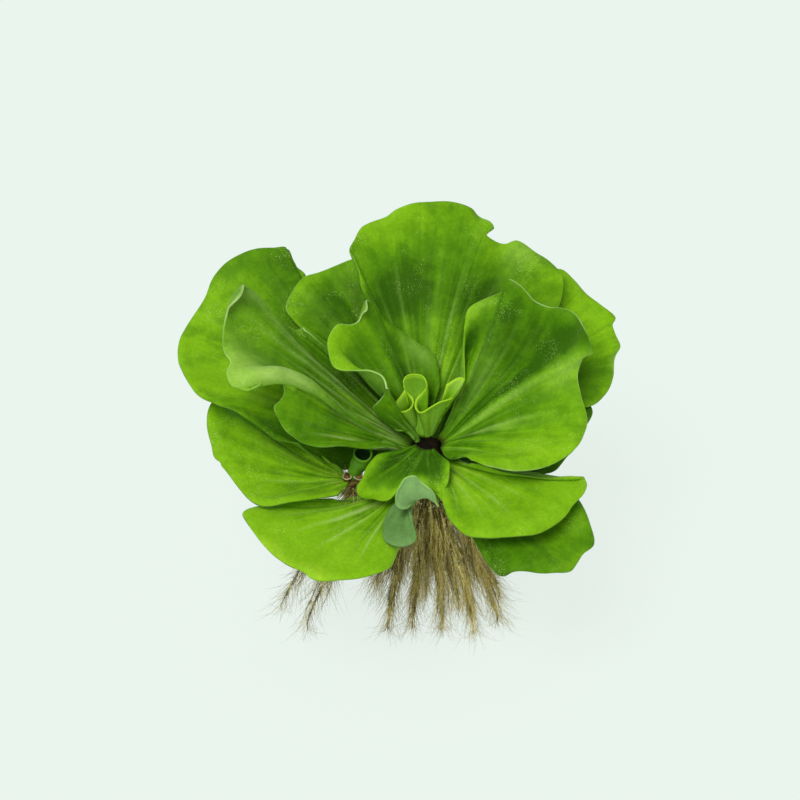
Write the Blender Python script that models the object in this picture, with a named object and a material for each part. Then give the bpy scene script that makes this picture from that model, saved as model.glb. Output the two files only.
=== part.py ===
"""Water lettuce: a floating rosette plant as picked, standing on the mass of its hanging roots.

Tables are in millimetres and objects are made in metres. +Z is up and +Y is the plant's back. The
origin is on the surface that the roots stand on, straight under the middle of the crown.
"""

import math

import bmesh
import bpy
import numpy as np

MM = 0.001

# Driving dimensions, mm and degrees.
CROWN_BOTTOM = 60.0
CROWN_RADIUS = 7.6
CROWN_PROFILE = [(7.0, 60.0), (7.5, 62.0), (7.5, 71.5), (6.6, 73.0), (5.0, 75.2), (3.4, 76.6)]
CROWN_SIDES = 20
OFFSET_CENTRE = (-25.0, -11.0)
OFFSET_RADIUS = 3.6
OFFSET_BOTTOM = 62.5
OFFSET_TOP = 69.5
GAP = 0.35
LEAF_BASE_THICKNESS = 1.8
LEAF_RIM_THICKNESS = 0.8
LEAF_ROWS = 4
RIM_SAMPLES = 240
RIM_CALM_SHARE = 0.05
RIM_WAVE_POWER = 2.5
FLESHY_POWER = 1.5
VEIN_REACH = 0.48
VEIN_FAN = 0.75
STOLON_RADIUS = 1.2
ROOT_TOP_RADIUS = 1.05
ROOT_FOOT_RADIUS = 2.4
ROOT_ANKLE = 4.0
ROOT_BEND_SHARE = 0.65
ROOT_BEND_HEIGHT = 0.45
ROOT_PLUME_SHARES = (0.0, 0.05, 0.22, 0.5, 0.85, 1.0, 0.9)
ROOT_SIDES_SETTING = 2

GREEN = (0.16, 0.36, 0.03)
DEEP_GREEN = (0.09, 0.25, 0.02)
GREY_GREEN = (0.20, 0.36, 0.16)
BROWN = (0.10, 0.06, 0.03)
TAN = (0.36, 0.27, 0.12)

# Each leaf grows from an arc on its stem: azimuth of the leaf, height of the arc, its radius and how
# many degrees it wraps. From there its veins leave at the rise angle, or at a row of angles from its one
# side to its other, and fan out to the rim, which is listed from one corner round the tip to the other.
LEAVES = {
    "leaf_back_tall": {
        "base": (95, 75.5, 6.6, 60), "rise": 54, "color": GREEN,
        "rim": [(-21, 26, 121), (-25, 35, 128), (-27, 38, 130), (-25, 41, 133), (-23, 43, 136), (-20, 45, 137),
                (-14, 46, 139), (-11, 47, 141), (-5, 48, 143), (1, 49, 143), (8, 49, 143), (15, 48, 141),
                (18, 47, 138), (21, 46, 137), (20, 43, 134), (23, 43, 131), (27, 44, 129), (31, 45, 130),
                (38, 42, 127), (43, 41, 124), (46, 39, 121), (47, 36, 117), (44, 27, 109)],
    },
    "leaf_back_right": {
        "base": (32, 71.5, 8, 60), "rise": 40, "color": GREEN,
        "rim": [(33, 47, 110), (42, 49, 115), (47, 47, 117), (52, 44, 114), (56, 42, 110), (61, 39, 107),
                (66, 35, 104), (65, 34, 102), (66, 31, 100), (68, 28, 97), (66, 25, 93), (65, 20, 90),
                (63, 16, 87), (60, 13, 85), (55, 9, 85)],
    },
    "leaf_right_inner": {
        "base": (6, 75.2, 6.6, 76), "rise": (56, 26), "color": GREEN,
        "rim": [(13, 8, 96), (13, 12, 103), (13, 17, 110), (13, 21, 113), (14, 25, 116), (18, 27, 117),
                (26, 28, 121), (27, 27, 126), (31, 25, 125), (34, 24, 122), (36, 23, 120), (41, 22, 118),
                (45, 20, 119), (49, 17, 119), (52, 12, 117), (54, 8, 113), (54, 5, 111), (50, 2, 105),
                (51, -3, 100), (53, -9, 94), (52, -13, 91), (50, -17, 88), (45, -21, 86), (40, -24, 84),
                (33, -26, 85), (20, -24, 86), (14, -19, 84)],
    },
    "leaf_back_left": {
        "base": (152, 69.2, 8, 60), "rise": (-8, 24, 30, 30, 30), "color": GREEN,
        "rim": [(-44, -7, 81), (-55, -3, 87), (-64, 0, 92), (-71, 2, 94), (-76, 3, 95), (-80, 6, 96), (-83, 10, 98),
                (-86, 20, 100), (-86, 26, 101), (-84, 32, 103), (-78, 40, 109), (-75, 47, 114),
                (-69, 51, 118), (-63, 54, 120), (-50, 56, 119), (-47, 53, 116), (-43, 48, 110)],
    },
    "leaf_back_mid": {
        "base": (118, 71.8, 8, 56), "rise": 48, "color": DEEP_GREEN,
        "rim": [(-41, 27, 103), (-49, 35, 107), (-49, 38, 109), (-44, 45, 114), (-38, 49, 114),
                (-31, 51, 116), (-25, 53, 117), (-18, 53, 117), (-13, 50, 114), (-11, 40, 105)],
    },
    "leaf_left_inner": {
        "base": (172, 73.6, 7, 66), "rise": (30, 30, 28, 38, 42, 37, 37, 37, 34), "calm": 0.09,
        "color": GREEN,
        "rim": [(-18, -10, 83), (-28, -16, 88), (-41, -21, 93), (-45, -22, 98), (-49, -20, 105),
                (-47, -14, 106), (-46, -13, 109), (-48, -13, 113), (-51, -14, 115), (-55, -17, 115),
                (-62, -19, 116), (-65, -17, 117), (-66, -13, 119), (-68, -6, 121), (-69, 2, 123),
                (-68, 9, 125), (-66, 14, 128), (-63, 18, 129), (-60, 22, 124), (-56, 22, 120),
                (-52, 22, 115), (-43, 20, 109), (-32, 13, 101)],
    },
    "leaf_centre_left": {
        "base": (135, 76.9, 4.6, 110), "rise": 58, "color": GREEN,
        "rim": [(-8, -1, 80), (-11, -2, 80), (-15, 0, 82), (-18, 2, 84), (-19, 1, 89), (-17, -2, 95),
                (-14, -5, 101), (-13, -6, 105), (-15, -5, 109), (-19, -3, 110), (-23, -1, 110),
                (-28, 1, 112), (-31, 4, 113), (-33, 7, 115), (-32, 10, 117), (-30, 12, 118), (-26, 13, 117),
                (-21, 16, 118), (-20, 18, 120), (-21, 21, 121), (-19, 22, 119), (-16, 23, 114),
                (-11, 25, 108), (-3, 22, 103), (1, 19, 101), (3, 15, 97), (4, 11, 92)],
    },
    "leaf_heart": {
        "base": (270, 77.6, 2.8, 190), "rise": 75, "thickness": 0.9, "calm": 0.10, "color": GREEN,
        "rim": [(6, 7, 95), (9, 8, 97), (12, 9, 98), (12, 7, 95), (10, 6, 93), (7, 5, 92), (4, 3, 92),
                (1, 2, 91), (-1, 0, 90), (-3, 1, 90), (-4, 4, 91), (-3, 6, 92), (-1, 7, 94), (-1, 9, 96),
                (-3, 11, 97), (-6, 11, 97), (-9, 10, 96), (-9, 8, 95), (-7, 6, 93), (-7, 3, 91),
                (-9, 1, 90), (-11, 1, 92), (-10, 3, 95)],
    },
    "leaf_left_low": {
        "base": (188, 68.8, 4.2, 90), "rise": 10, "color": GREEN, "on_offset": True,
        "rim": [(-30, -20, 72), (-40, -25, 73), (-48, -27, 74), (-56, -27, 73), (-60, -25, 73), (-63, -22, 74),
                (-66, -18, 76), (-69, -14, 79), (-71, -10, 80), (-73, -6, 82), (-75, 0, 85), (-75, 6, 87),
                (-73, 11, 87), (-68, 13, 83), (-62, 12, 82), (-49, 6, 78), (-38, -3, 73), (-32, -8, 71)],
    },
    "leaf_front_left_low": {
        "base": (232, 63.2, 8, 42), "rise": 2, "fan": 0.2, "color": GREEN,
        "rim": [(-8, -28, 61), (-10, -39, 61), (-12, -47, 63), (-15, -51, 64), (-21, -53, 64), (-34, -55, 64),
                (-38, -54, 64), (-41, -52, 65), (-46, -49, 65), (-50, -47, 67), (-55, -42, 69),
                (-61, -32, 70), (-62, -28, 70), (-56, -24, 69), (-44, -21, 68), (-32, -20, 66)],
    },
    "leaf_front_small": {
        "base": (250, 76.0, 5.6, 110), "rise": 5, "color": DEEP_GREEN,
        "rim": [(5, -9, 77), (7, -12, 78), (7, -17, 77), (6, -21, 75), (4, -23, 74), (-2, -19, 74),
                (-9, -20, 73), (-14, -23, 70), (-19, -23, 71), (-23, -23, 72), (-24, -22, 75), (-22, -19, 77),
                (-21, -16, 78), (-19, -13, 79), (-16, -10, 80), (-13, -8, 79)],
    },
    "leaf_front_right": {
        "base": (318, 70.8, 8, 60), "rise": (14, 8), "color": GREEN,
        "rim": [(14, -16, 79), (31, -21, 79), (49, -22, 78), (53, -21, 77), (52, -26, 77), (48, -31, 76),
                (45, -35, 75), (37, -41, 75), (32, -43, 75), (26, -44, 74), (21, -44, 73), (16, -43, 73),
                (13, -40, 73), (9, -35, 74), (7, -30, 73), (4, -24, 72)],
    },
    "leaf_front_right_low": {
        "base": (308, 65.4, 8, 40), "rise": 5, "color": DEEP_GREEN,
        "rim": [(45, -18, 70), (50, -22, 71), (54, -31, 67), (55, -38, 64), (51, -42, 63), (49, -45, 62),
                (47, -48, 62), (41, -50, 63), (28, -50, 63), (24, -50, 61), (21, -47, 61), (16, -37, 63),
                (14, -32, 64)],
    },
    "leaf_right_low": {
        "base": (352, 68.6, 8, 48), "rise": 5, "color": DEEP_GREEN,
        "rim": [(44, 16, 84), (50, 13, 84), (55, 9, 82), (56, 6, 81), (54, 1, 80), (50, -5, 78), (45, -12, 77),
                (42, -15, 76), (34, -15, 74)],
    },
    "leaf_front_curl": {
        "base": (276, 67.8, 8, 26), "rise": -3, "reach": 1.0, "color": GREY_GREEN,
        "rim": [(4, -24, 69), (2, -24, 73), (0, -25, 78), (-3, -25, 81), (-5, -26, 84), (-8, -26, 83),
                (-10, -27, 80), (-11, -27, 76), (-11, -27, 72)],
    },
    "leaf_front_droop": {
        "base": (249, 65.3, 8, 16), "rise": 2, "fan": -0.5, "color": GREY_GREEN,
        "rim": [(-6, -20, 66), (-6, -27, 67), (-5, -33, 66), (-4, -36, 66), (-5, -39, 66), (-8, -41, 66),
                (-11, -41, 66), (-14, -39, 66), (-15, -36, 66), (-15, -32, 66), (-14, -27, 67),
                (-12, -22, 67), (-9, -17, 66)],
    },
    "leaf_under_back": {
        "base": (70, 67.0, 8, 44), "rise": 22, "color": DEEP_GREEN,
        "rim": [(2, 38, 82), (6, 48, 88), (12, 54, 92), (20, 56, 94), (28, 54, 93), (34, 48, 90),
                (37, 40, 87), (34, 30, 81)],
    },
    "leaf_under_left": {
        "base": (114, 66.6, 8, 40), "rise": 22, "color": DEEP_GREEN,
        "rim": [(-34, 26, 81), (-38, 36, 88), (-36, 46, 93), (-28, 52, 96), (-18, 54, 96), (-10, 50, 93),
                (-6, 42, 87), (-6, 34, 81)],
    },
}

# Each main root leaves the underside of the crown at an angle and a distance from its axis, and ends at
# a foot, which stands on the surface where its height is 0. Its solid takes in its fringe of side hairs,
# so it swells to the plume radius.
MAIN_ROOTS = {
    "root_centre": ((0, 0.0), (0, 0, 0), 4.2),
    "root_front_left": ((220, 5.9), (-14, -15, 0), 4.4),
    "root_front_mid_left": ((250, 5.9), (-5, -14, 0), 4.0),
    "root_front_mid_right": ((279, 5.9), (6, -15, 0), 4.2),
    "root_front_right": ((305, 5.9), (17, -17, 0), 4.3),
    "root_front_far_right": ((330, 5.9), (26, -11, 0), 4.5),
    "root_right": ((345, 3.0), (12, -4, 0), 4.2),
    "root_right_out": ((355, 5.9), (27, 1, 0), 4.5),
    "root_back_right": ((30, 5.9), (18, 12, 0), 4.4),
    "root_back": ((70, 5.9), (5, 14, 0), 4.4),
    "root_back_left": ((115, 5.9), (-9, 12, 0), 4.4),
    "root_left": ((165, 5.9), (-18, 1, 7), 4.2),
}
OFFSET_ROOTS = {
    "offset_root_far": ((185, 2.1), (-53, -5, 0), 4.2),
    "offset_root_mid": ((280, 2.1), (-43, -15, 0), 4.2),
    "offset_root_near": ((60, 2.1), (-36, -2, 8), 3.6),
}


def clear_scene():
    for obj in list(bpy.data.objects):
        bpy.data.objects.remove(obj, do_unlink=True)


def material(name, color, roughness):
    made = bpy.data.materials.new(name)
    made.use_nodes = True
    shader = made.node_tree.nodes["Principled BSDF"]
    shader.inputs["Base Color"].default_value = (*color, 1.0)
    shader.inputs["Roughness"].default_value = roughness
    shader.inputs["Metallic"].default_value = 0.0
    return made


def add_object(name, data, color, roughness):
    obj = bpy.data.objects.new(name, data)
    bpy.context.collection.objects.link(obj)
    data.materials.append(material(name, color, roughness))
    return obj


def spline_through(points, samples):
    """Even samples of a smooth curve through the points, and each point's place along it from 0 to 1."""
    points = np.array(points, float)
    ends = np.vstack([2 * points[0] - points[1], points, 2 * points[-1] - points[-2]])
    steps = 24
    u = np.linspace(0, 1, steps, endpoint=False)[:, None]
    pieces = []
    for before, start, end, after in zip(ends, ends[1:], ends[2:], ends[3:]):
        a, b, c = (math.sqrt(np.linalg.norm(q - p)) for p, q in ((before, start), (start, end), (end, after)))
        leave = (end - start) + b * ((start - before) / a - (end - before) / (a + b))
        arrive = (end - start) + b * ((after - end) / c - (after - start) / (b + c))
        pieces.append((2 * u**3 - 3 * u**2 + 1) * start + (u**3 - 2 * u**2 + u) * leave
                      + (3 * u**2 - 2 * u**3) * end + (u**3 - u**2) * arrive)
    curve = np.vstack(pieces + [points[-1:]])
    length = np.concatenate([[0], np.cumsum(np.linalg.norm(np.diff(curve, axis=0), axis=1))])
    length /= length[-1]
    even = np.linspace(0, 1, samples + 1)
    return np.stack([np.interp(even, length, axis) for axis in curve.T], axis=1), length[::steps]


def smoothed(rim, width):
    """The rim with waves shorter than the width, a share of its length, taken out."""
    reach = int(3 * width * len(rim)) + 1
    weights = np.exp(-0.5 * (np.arange(-reach, reach + 1) / (width * len(rim))) ** 2)
    weights /= weights.sum()
    padded = np.vstack([2 * rim[0] - rim[reach:0:-1], rim, 2 * rim[-1] - rim[-2:-reach - 2:-1]])
    return np.stack([np.convolve(axis, weights, "valid") for axis in padded.T], axis=1)


def leaf_grid(leaf):
    """Rows of points from the leaf's base arc to its rim, one column for each rim point, in mm."""
    azimuth, height, radius, wrap = leaf["base"]
    centre = OFFSET_CENTRE if leaf.get("on_offset") else (0.0, 0.0)
    even = np.linspace(0, 1, RIM_SAMPLES + 1)
    dense, places = spline_through(leaf["rim"], RIM_SAMPLES)
    calm = smoothed(dense, leaf.get("calm", RIM_CALM_SHARE))
    rim, calm = (np.stack([np.interp(places, even, axis) for axis in c.T], axis=1) for c in (dense, calm))
    turn = np.radians(azimuth + (0.5 - places) * wrap)
    base = np.stack([centre[0] + radius * np.cos(turn), centre[1] + radius * np.sin(turn),
                     np.full(len(places), float(height))], axis=1)
    out = calm - base
    swing = np.arctan2(out[:, 1], out[:, 0]) - math.radians(azimuth)
    swing = np.angle(np.exp(1j * swing))
    heading = math.radians(azimuth) + leaf.get("fan", VEIN_FAN) * swing
    rises = np.atleast_1d(leaf["rise"])
    rise = np.radians(np.interp(places, np.linspace(0, 1, len(rises)), rises))
    leave = np.stack([np.cos(rise) * np.cos(heading), np.cos(rise) * np.sin(heading), np.sin(rise)], axis=1)
    middle = base + leaf.get("reach", VEIN_REACH) * np.linalg.norm(out, axis=1)[:, None] * leave
    rows = []
    for t in np.linspace(0, 1, LEAF_ROWS + 1):
        calm_row = (1 - t) ** 2 * base + 2 * t * (1 - t) * middle + t**2 * calm
        rows.append(calm_row + t**RIM_WAVE_POWER * (rim - calm))
    return np.array(rows)


def make_leaf(name, leaf):
    """A sheet of quads with a Solidify that thins from the fleshy base to the rim."""
    rows = leaf_grid(leaf)
    sheet = bmesh.new()
    verts = [[sheet.verts.new(point * MM) for point in row] for row in rows]
    for lower, upper in zip(verts, verts[1:]):
        for i in range(len(lower) - 1):
            sheet.faces.new((lower[i], lower[i + 1], upper[i + 1], upper[i]))
    data = bpy.data.meshes.new(name)
    sheet.to_mesh(data)
    sheet.free()
    data.shade_smooth()
    obj = add_object(name, data, leaf["color"], 0.5)
    group = obj.vertex_groups.new(name="fleshy")
    columns = rows.shape[1]
    for row in range(LEAF_ROWS + 1):
        group.add(range(row * columns, (row + 1) * columns), (1 - row / LEAF_ROWS) ** FLESHY_POWER, "REPLACE")
    solidify = obj.modifiers.new("thickness", "SOLIDIFY")
    thickness = leaf.get("thickness", LEAF_BASE_THICKNESS)
    solidify.thickness = thickness * MM
    solidify.offset = 0.0
    solidify.vertex_group = group.name
    solidify.thickness_vertex_group = LEAF_RIM_THICKNESS / thickness
    return obj


def turned(name, profile, centre, sides, color, roughness):
    """A solid of revolution from (radius, height) pairs, closed by flat ends."""
    mesh = bmesh.new()
    rings = []
    for radius, height in profile:
        ring = []
        for k in range(sides):
            angle = 2 * math.pi * k / sides
            ring.append(mesh.verts.new(((centre[0] + radius * math.cos(angle)) * MM,
                                        (centre[1] + radius * math.sin(angle)) * MM, height * MM)))
        rings.append(ring)
    for lower, upper in zip(rings, rings[1:]):
        for k in range(sides):
            mesh.faces.new((lower[k], lower[(k + 1) % sides], upper[(k + 1) % sides], upper[k]))
    mesh.faces.new(list(reversed(rings[0])))
    mesh.faces.new(rings[-1])
    bmesh.ops.recalc_face_normals(mesh, faces=mesh.faces)
    data = bpy.data.meshes.new(name)
    mesh.to_mesh(data)
    mesh.free()
    data.shade_smooth()
    data.set_sharp_from_angle(angle=math.radians(40))
    return add_object(name, data, color, roughness)


def tube(name, points, radii, color, roughness):
    """A round tube along the points, with its own radius at each and filled ends."""
    data = bpy.data.curves.new(name, "CURVE")
    data.dimensions = "3D"
    data.bevel_depth = MM
    data.bevel_resolution = ROOT_SIDES_SETTING
    data.use_fill_caps = True
    spline = data.splines.new("POLY")
    spline.points.add(len(points) - 1)
    for place, point, radius in zip(spline.points, points, radii):
        place.co = (point[0] * MM, point[1] * MM, point[2] * MM, 1.0)
        place.radius = radius
    return add_object(name, data, color, roughness)


def make_root(name, centre, top, start, foot, plume):
    """A root that hangs from the stem and turns straight down at its foot, fattest in its lower third."""
    angle, distance = start
    head = np.array([centre[0] + distance * math.cos(math.radians(angle)),
                     centre[1] + distance * math.sin(math.radians(angle)), top - 1.5 * GAP])
    foot = np.array(foot, float)
    ankle = foot + np.array([0, 0, ROOT_ANKLE])
    bend = (1 - ROOT_BEND_SHARE) * head + ROOT_BEND_SHARE * foot
    bend[2] = ROOT_BEND_HEIGHT * top
    points = []
    for t in np.linspace(0, 1, len(ROOT_PLUME_SHARES)):
        points.append((1 - t) ** 2 * head + 2 * t * (1 - t) * bend + t**2 * ankle)
    points.append(foot)
    radii = [ROOT_TOP_RADIUS + share * (plume - ROOT_TOP_RADIUS) for share in ROOT_PLUME_SHARES]
    return tube(name, points, radii + [ROOT_FOOT_RADIUS], TAN, 0.9)


def make_stolon():
    """The runner that joins the crown to the small offset plant."""
    start = np.array([-CROWN_RADIUS - GAP - 0.3, -0.5, 63.4])
    end = np.array([OFFSET_CENTRE[0] + OFFSET_RADIUS + GAP + 0.3, OFFSET_CENTRE[1] + 2.0, 64.8])
    sag = (start + end) / 2 - np.array([0, 0, 2.0])
    points = [(1 - t) ** 2 * start + 2 * t * (1 - t) * sag + t**2 * end for t in np.linspace(0, 1, 6)]
    tube("stolon", points, [STOLON_RADIUS] * 6, BROWN, 0.7)


def make_offset_sheath():
    """The green tube of a cut leaf base that stands on the offset."""
    x, y = OFFSET_CENTRE
    points = [(x - 0.4, y + 0.2, OFFSET_TOP + GAP), (x - 0.2, y + 0.3, OFFSET_TOP + 1.8),
              (x + 1.2, y + 1.0, 74.6), (x + 2.7, y + 1.7, 77.4), (x + 3.0, y + 1.8, 79.4)]
    tube("offset_sheath", points, [1.8, 2.2, 2.8, 3.2, 3.3], DEEP_GREEN, 0.5)


def main():
    clear_scene()
    for name, leaf in LEAVES.items():
        make_leaf(name, leaf)
    turned("crown", CROWN_PROFILE, (0.0, 0.0), CROWN_SIDES, BROWN, 0.8)
    offset_profile = [(2.6, OFFSET_BOTTOM), (OFFSET_RADIUS, 64.5), (OFFSET_RADIUS, 68.0), (2.6, OFFSET_TOP)]
    turned("offset_crown", offset_profile, OFFSET_CENTRE, 12, BROWN, 0.8)
    make_stolon()
    make_offset_sheath()
    for name, (start, foot, plume) in MAIN_ROOTS.items():
        make_root(name, (0.0, 0.0), CROWN_BOTTOM, start, foot, plume)
    for name, (start, foot, plume) in OFFSET_ROOTS.items():
        make_root(name, OFFSET_CENTRE, OFFSET_BOTTOM, start, foot, plume)


main()
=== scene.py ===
"""The looks of the water lettuce: ribbed leaves, crown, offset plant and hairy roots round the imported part.

Tables are in millimetres and objects are made in metres, in the part's own frame: +Z up, +Y the plant's
back, the origin on the surface it stands on.
"""

import math

import bpy
import numpy as np
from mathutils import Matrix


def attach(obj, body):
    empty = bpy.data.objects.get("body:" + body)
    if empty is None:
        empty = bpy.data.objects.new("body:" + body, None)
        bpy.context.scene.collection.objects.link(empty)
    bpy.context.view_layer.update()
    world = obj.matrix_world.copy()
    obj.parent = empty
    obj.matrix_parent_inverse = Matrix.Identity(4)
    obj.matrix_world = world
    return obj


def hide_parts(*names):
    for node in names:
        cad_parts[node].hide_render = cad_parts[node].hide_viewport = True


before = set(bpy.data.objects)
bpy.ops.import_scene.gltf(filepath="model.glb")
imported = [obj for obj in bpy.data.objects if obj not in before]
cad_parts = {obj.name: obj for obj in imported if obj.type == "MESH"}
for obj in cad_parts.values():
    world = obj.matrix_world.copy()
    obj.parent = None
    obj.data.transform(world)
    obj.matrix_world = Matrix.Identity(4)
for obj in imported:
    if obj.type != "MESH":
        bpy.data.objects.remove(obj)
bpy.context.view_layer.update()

MM = 0.001

# Plant dimensions, mm, the same as the solids'.
CROWN_BOTTOM = 60.0
CROWN_RADIUS = 7.6
OFFSET_CENTRE = (-25.0, -11.0)
OFFSET_RADIUS = 3.6
OFFSET_BOTTOM = 62.5
OFFSET_TOP = 69.5
ROOT_ANKLE = 4.0
ROOT_BEND_SHARE = 0.65
ROOT_BEND_HEIGHT = 0.45

# The finer build of the roots here: thinner strands round each core, and fine hairs on them all.
# THIN_ROOT_SHARE is a thin root's thickness as a share of the others'. The last is the tone of a pale hair,
# a painted glint.
ROOT_SAMPLES = 46
CORE_SIDES = 8
CORE_SHARES = (0, 0.15, 0.6, 0.93, 1)
CORE_RADII = (0.95, 0.85, 0.70, 0.40, 0.12)
STRANDS = 5
STRAND_SIDES = 5
STRAND_TAPER = ((0, 0.7, 1), (1.4, 0.6, 0.15))
THIN_ROOT_SHARE = 0.55
GLINT_HAIR_TONE = 1.55

# Kinds of root hair: how many a root has, the share of them that a thin root has, the share on the core,
# the stretch of the root that they start on, how far they open in degrees, their lengths and radius in mm,
# and the share of them that may be pale glints, which are painted highlights.
HAIR_KINDS = ((900, 0.30, 0.8, (0.00, 0.84), (8, 38), (1.6, 4.0), 0.085, 0.75),
              (260, 0.15, 0.5, (0.00, 0.45), (2, 14), (12, 25), 0.085, 0.35),
              (300, 0.40, 0.2, (0.20, 0.82), (5, 24), (5, 11), 0.055, 0.30),
              (130, 0.40, 0.3, (0.00, 0.85), (15, 60), (0.8, 2.0), 0.160, 1.00),
              (300, 0.60, 0.5, (0.55, 0.99), (8, 38), (8, 17), 0.045, 0.02))

# How a leaf's veins run from its base arc to its rim.
RIM_SAMPLES = 600
RIM_CALM_SHARE = 0.05
RIM_WAVE_POWER = 2.5
VEIN_REACH = 0.48
VEIN_FAN = 0.75

# A hair has three rings of three points and a tip, at these shares of its length.
HAIR_SHARES = (0.0, 0.4, 0.75, 1.0)
HAIR_WIDTHS = (1.0, 0.85, 0.55)
HAIR_POINTS = 10

# The finer build of the leaves here, mm. A leaf is measured first on a coarse grid of columns and rows.
COARSE_COLUMNS = 61
COARSE_ROWS = 41
WIDEST_ROW = 28
EMBED = 1.3
COLUMN_STEP = 0.9
ROW_STEP = 1.6
BASE_THICKNESS = 1.9
RIM_THICKNESS = 0.75
EDGE_ROUND = 0.4
EDGE_STEPS = (0.0, 0.04, 0.13, 0.27, 0.42)
EDGE_ROWS = EDGE_STEPS + (0.8, 1.2, 1.7, 2.3, 3.0)
RIB_HEIGHT = 0.14
PLEATS = 4
PLEAT_HEIGHT = 1.0
RIPPLE_HEIGHT = 0.45
EDGE_ROLL = 0.45
EDGE_ROLL_WIDTH = 2.6
ROW_CROWDING = 1.35
WAVE_LENGTH = 3.2
WAVE_ANGLE = 30.0
WAVE_LEAN = -14.0
MOST_ROLL_SHARE = 0.4

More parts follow.
